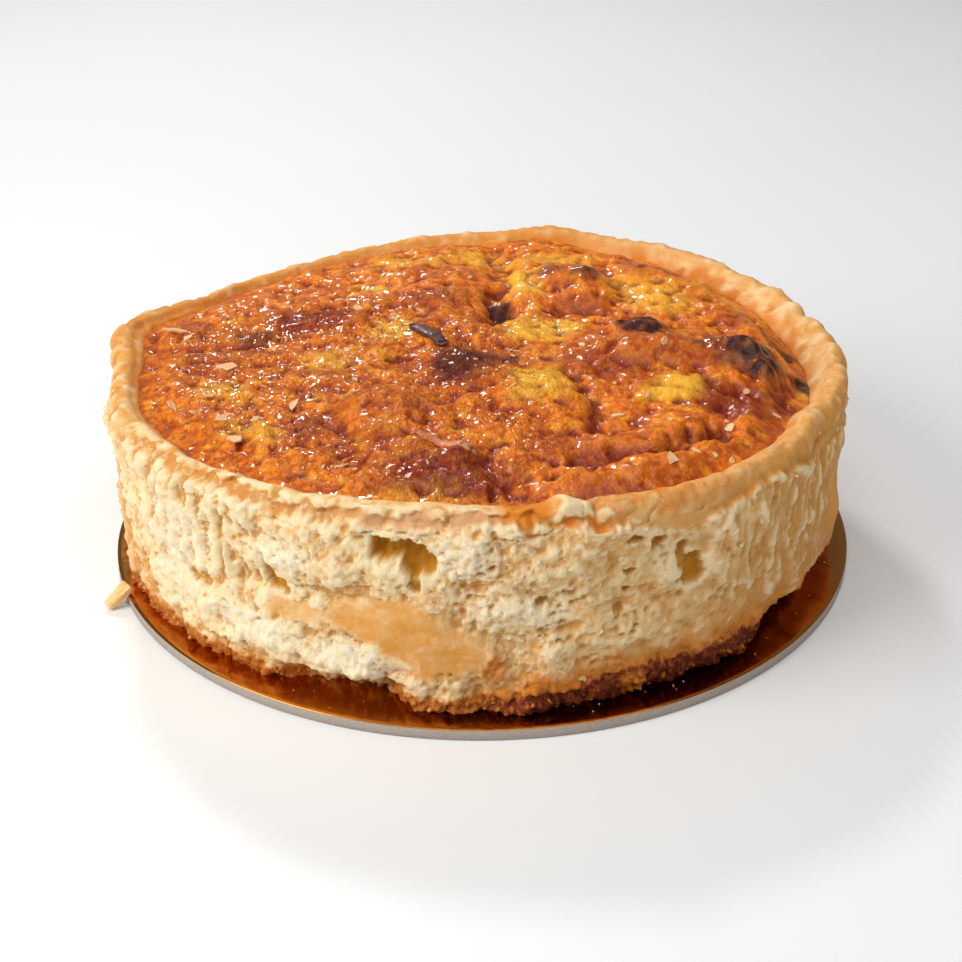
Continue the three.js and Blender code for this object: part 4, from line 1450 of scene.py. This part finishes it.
def make_crumbs(settings, tree, rng, material):
    """Crumbs that cling under the foot and lie on the card beside it."""
    bm = bmesh.new()
    tones = []
    for index in range(settings.crumbs):
        bearing = rng.uniform(-180, 180)
        clinging = index % LOOSE_EVERY > 0
        size = rng.uniform(0.5, 1.7) if clinging else rng.uniform(0.3, 0.9)
        if clinging:
            place, _ = hit_from_outside(tree, bearing, CARD_TOP + 0.3 + abs(rng.normal(0, 2.2)))
            if place is None:
                continue
        else:
            reach = 94 + abs(rng.normal(0, 2.6))
            if reach > CARD_RADIUS - 1:
                continue
            place = Vector(points_at(bearing, reach, CARD_TOP + 0.3 * size)) * MM
        verts = bmesh.ops.create_icosphere(bm, subdivisions=1, radius=size / 2)["verts"]
        drawn = Vector((rng.uniform(0.7, 1.9), rng.uniform(0.6, 1.1), rng.uniform(0.6, 1.1)))
        turn = Matrix.Rotation(rng.uniform(0, 6.3), 4, "Z") @ Matrix.Rotation(rng.uniform(0, 6.3), 4, "Y")
        for vert in verts:
            vert.co = (Vector(a * b for a, b in zip(vert.co, drawn))) * rng.uniform(0.75, 1.2)
            vert.co = place + (turn @ vert.co) * MM
            vert.co.z = max(vert.co.z, CARD_TOP * MM)
        tone = 0.45 + 0.5 * float(ease(-15, 25, np.array(bearing)))
        tones += [tone * rng.uniform(0.6, 1.1) if clinging else rng.uniform(0.2, 0.9)] * len(verts)
    values = {"golden": [0.3] * len(tones), "toast": tones, "cavity": [0.5] * len(tones)}
    keep(bm, "crumbs_at_the_foot", [material], values=values)


def make_chip(material):
    """The broken chip of crust that leans on the card's edge."""
    low, high = (Vector(corner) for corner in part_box("pastry_chip"))
    bm = bmesh.new()
    bmesh.ops.create_cube(bm, size=2)
    bmesh.ops.subdivide_edges(bm, edges=bm.edges[:], cuts=15, use_grid_fill=True)
    tree = solid_tree("pastry_chip")
    middle = (low + high) / 2 / MM
    for vert in bm.verts:
        towards = vert.co.normalized()
        hit = tree.ray_cast(middle + towards * 20, -towards)[0]
        spot = middle if hit is None else hit
        crumb = 0.25 * noise.noise(spot * 0.9) + 0.12 * noise.noise(spot * 2.3)
        vert.co = (spot + towards * (crumb - 0.15)) * MM
        vert.co.z = max(vert.co.z, 0)
    bmesh.ops.smooth_vert(bm, verts=bm.verts[:], factor=0.5,
                          use_axis_x=True, use_axis_y=True, use_axis_z=True)
    count = len(bm.verts)
    values = {"golden": [0.25] * count, "cavity": [0.5] * count}
    keep(bm, "leaning_pastry_chip", [material], ["pastry_chip"], values)


# ------------------------------------------------------------------ the stage

# The lights: name, place, width and height, power, colour. All lengths here are in metres.
LIGHTS = (
    ("key_from_the_left", (-0.75, -0.38, 0.6), (0.6, 0.6), 7, (1, 0.985, 0.95)),
    ("window_behind", (-0.25, 0.8, 0.75), (0.16, 0.12), 3.8, (1, 0.99, 0.97)),
    ("soft_top", (0.15, -0.45, 1.3), (1.4, 1.4), 9.5, (1, 0.985, 0.97)),
)
LIT_POINT = (0, 0, 0.04)
ROOM_COLOUR = (1, 0.99, 0.975, 1)
ROOM_STRENGTH = 0.2
FLOOR_HALF = 6
CAMERA_LEFT = 0.0002


def area_light(name, place, size, power, colour):
    data = bpy.data.lights.new(name, "AREA")
    data.shape = "RECTANGLE"
    data.size, data.size_y = size
    data.energy = power
    data.color = colour
    light = bpy.data.objects.new(name, data)
    light.location = place
    light.rotation_euler = (Vector(LIT_POINT) - Vector(place)).to_track_quat("-Z", "Y").to_euler()
    bpy.context.scene.collection.objects.link(light)


def make_stage(settings):
    """The table top, a soft room, three lights and the camera."""
    bm = bmesh.new()
    bmesh.ops.create_grid(bm, x_segments=1, y_segments=1, size=FLOOR_HALF)
    mesh = bpy.data.meshes.new("table_top")
    bm.to_mesh(mesh)
    bm.free()
    mesh.materials.append(floor_material(settings))
    floor = bpy.data.objects.new("table_top", mesh)
    bpy.context.scene.collection.objects.link(floor)

    world = bpy.data.worlds.new("soft_room")
    world.use_nodes = True
    background = world.node_tree.nodes["Background"]
    background.inputs["Color"].default_value = ROOM_COLOUR
    background.inputs["Strength"].default_value = ROOM_STRENGTH
    bpy.context.scene.world = world
    for light in LIGHTS:
        area_light(*light)

    data = bpy.data.cameras.new("camera")
    data.lens = settings.lens
    data.sensor_width = 36
    data.clip_start = 0.01
    camera = bpy.data.objects.new("camera", data)
    tilt = Matrix.Rotation(math.pi / 2 - settings.pitch, 4, "X")
    roll = Matrix.Rotation(settings.roll, 4, "Z")
    place = Matrix.Translation((-CAMERA_LEFT, -settings.distance, settings.height))
    camera.matrix_world = place @ tilt @ roll
    bpy.context.scene.collection.objects.link(camera)
    bpy.context.scene.camera = camera
    bpy.context.scene.view_settings.view_transform = "Standard"


# ------------------------------------------------------------------ operators

class QUICHE_OT_stage(bpy.types.Operator):
    """Make the table top, the lights and the camera"""

    bl_idname = "quiche.stage"
    bl_label = "Stage"

    def execute(self, context):
        make_stage(context.scene.quiche_stage)
        return {"FINISHED"}


class QUICHE_OT_card(bpy.types.Operator):
    """Make the foil-faced cake card"""

    bl_idname = "quiche.card"
    bl_label = "Cake card"

    def execute(self, context):
        make_card(context.scene.quiche_card)
        return {"FINISHED"}


class QUICHE_OT_case(bpy.types.Operator):
    """Make the flaky pastry case"""

    bl_idname = "quiche.case"
    bl_label = "Pastry case"

    def execute(self, context):
        make_case(context.scene.quiche_crust)
        return {"FINISHED"}


class QUICHE_OT_filling(bpy.types.Operator):
    """Make the baked filling"""

    bl_idname = "quiche.filling"
    bl_label = "Filling"

    def execute(self, context):
        make_filling(context.scene.quiche_filling)
        return {"FINISHED"}


class QUICHE_OT_toppings(bpy.types.Operator):
    """Make the shreds and flakes on the filling"""

    bl_idname = "quiche.toppings"
    bl_label = "Shreds and flakes"

    def execute(self, context):
        settings = context.scene.quiche_topping
        tree = surface_of(bpy.data.objects["baked_filling"])
        pale = shred_material("pale_shred_of_cheese", settings.shred, PALE_SHRED_EDGE)
        dark = shred_material("dark_shred_of_cheese", settings.dark_shred, DARK_SHRED_EDGE)
        make_shred(tree, PALE_SHRED, pale)
        make_shred(tree, DARK_SHRED, dark)
        make_top_flakes(settings, tree, np.random.default_rng(RANDOM_SEED))
        return {"FINISHED"}


class QUICHE_OT_crumbs(bpy.types.Operator):
    """Make the wall's flakes, the crumbs at the foot and the loose chip"""

    bl_idname = "quiche.crumbs"
    bl_label = "Flakes and crumbs"

    def execute(self, context):
        settings = context.scene.quiche_topping
        case = bpy.data.objects["pastry_case"]
        pastry = case.data.materials[0]
        tree = surface_of(case)
        make_wall_flakes(settings, tree, np.random.default_rng(RANDOM_SEED + 1))
        make_crumbs(settings, tree, np.random.default_rng(RANDOM_SEED + 2), pastry)
        make_chip(pastry)
        return {"FINISHED"}


class QUICHE_PT_sidebar(bpy.types.Panel):
    """The quiche's pieces, in the order they are made"""

    bl_idname = "QUICHE_PT_sidebar"
    bl_label = "Quiche"
    bl_space_type = "VIEW_3D"
    bl_region_type = "UI"
    bl_category = "Quiche"

    def draw(self, context):
        for operator in OPERATORS:
            self.layout.operator(operator.bl_idname)


OPERATORS = (QUICHE_OT_stage, QUICHE_OT_card, QUICHE_OT_case, QUICHE_OT_filling, QUICHE_OT_toppings,
             QUICHE_OT_crumbs)
SETTINGS = {
    "quiche_card": QuicheCardSettings,
    "quiche_crust": QuicheCrustSettings,
    "quiche_filling": QuicheFillingSettings,
    "quiche_topping": QuicheToppingSettings,
    "quiche_stage": QuicheStageSettings,
}


def register():
    for cls in (*SETTINGS.values(), *OPERATORS, QUICHE_PT_sidebar):
        bpy.utils.register_class(cls)
    for name, group in SETTINGS.items():
        setattr(bpy.types.Scene, name, bpy.props.PointerProperty(type=group))


def unregister():
    for name in SETTINGS:
        delattr(bpy.types.Scene, name)
    for cls in (QUICHE_PT_sidebar, *reversed(OPERATORS), *SETTINGS.values()):
        bpy.utils.unregister_class(cls)


def main():
    register()
    bpy.ops.quiche.stage()
    bpy.ops.quiche.card()
    bpy.ops.quiche.case()
    bpy.ops.quiche.filling()
    bpy.ops.quiche.toppings()
    bpy.ops.quiche.crumbs()


if __name__ == "__main__":
    main()
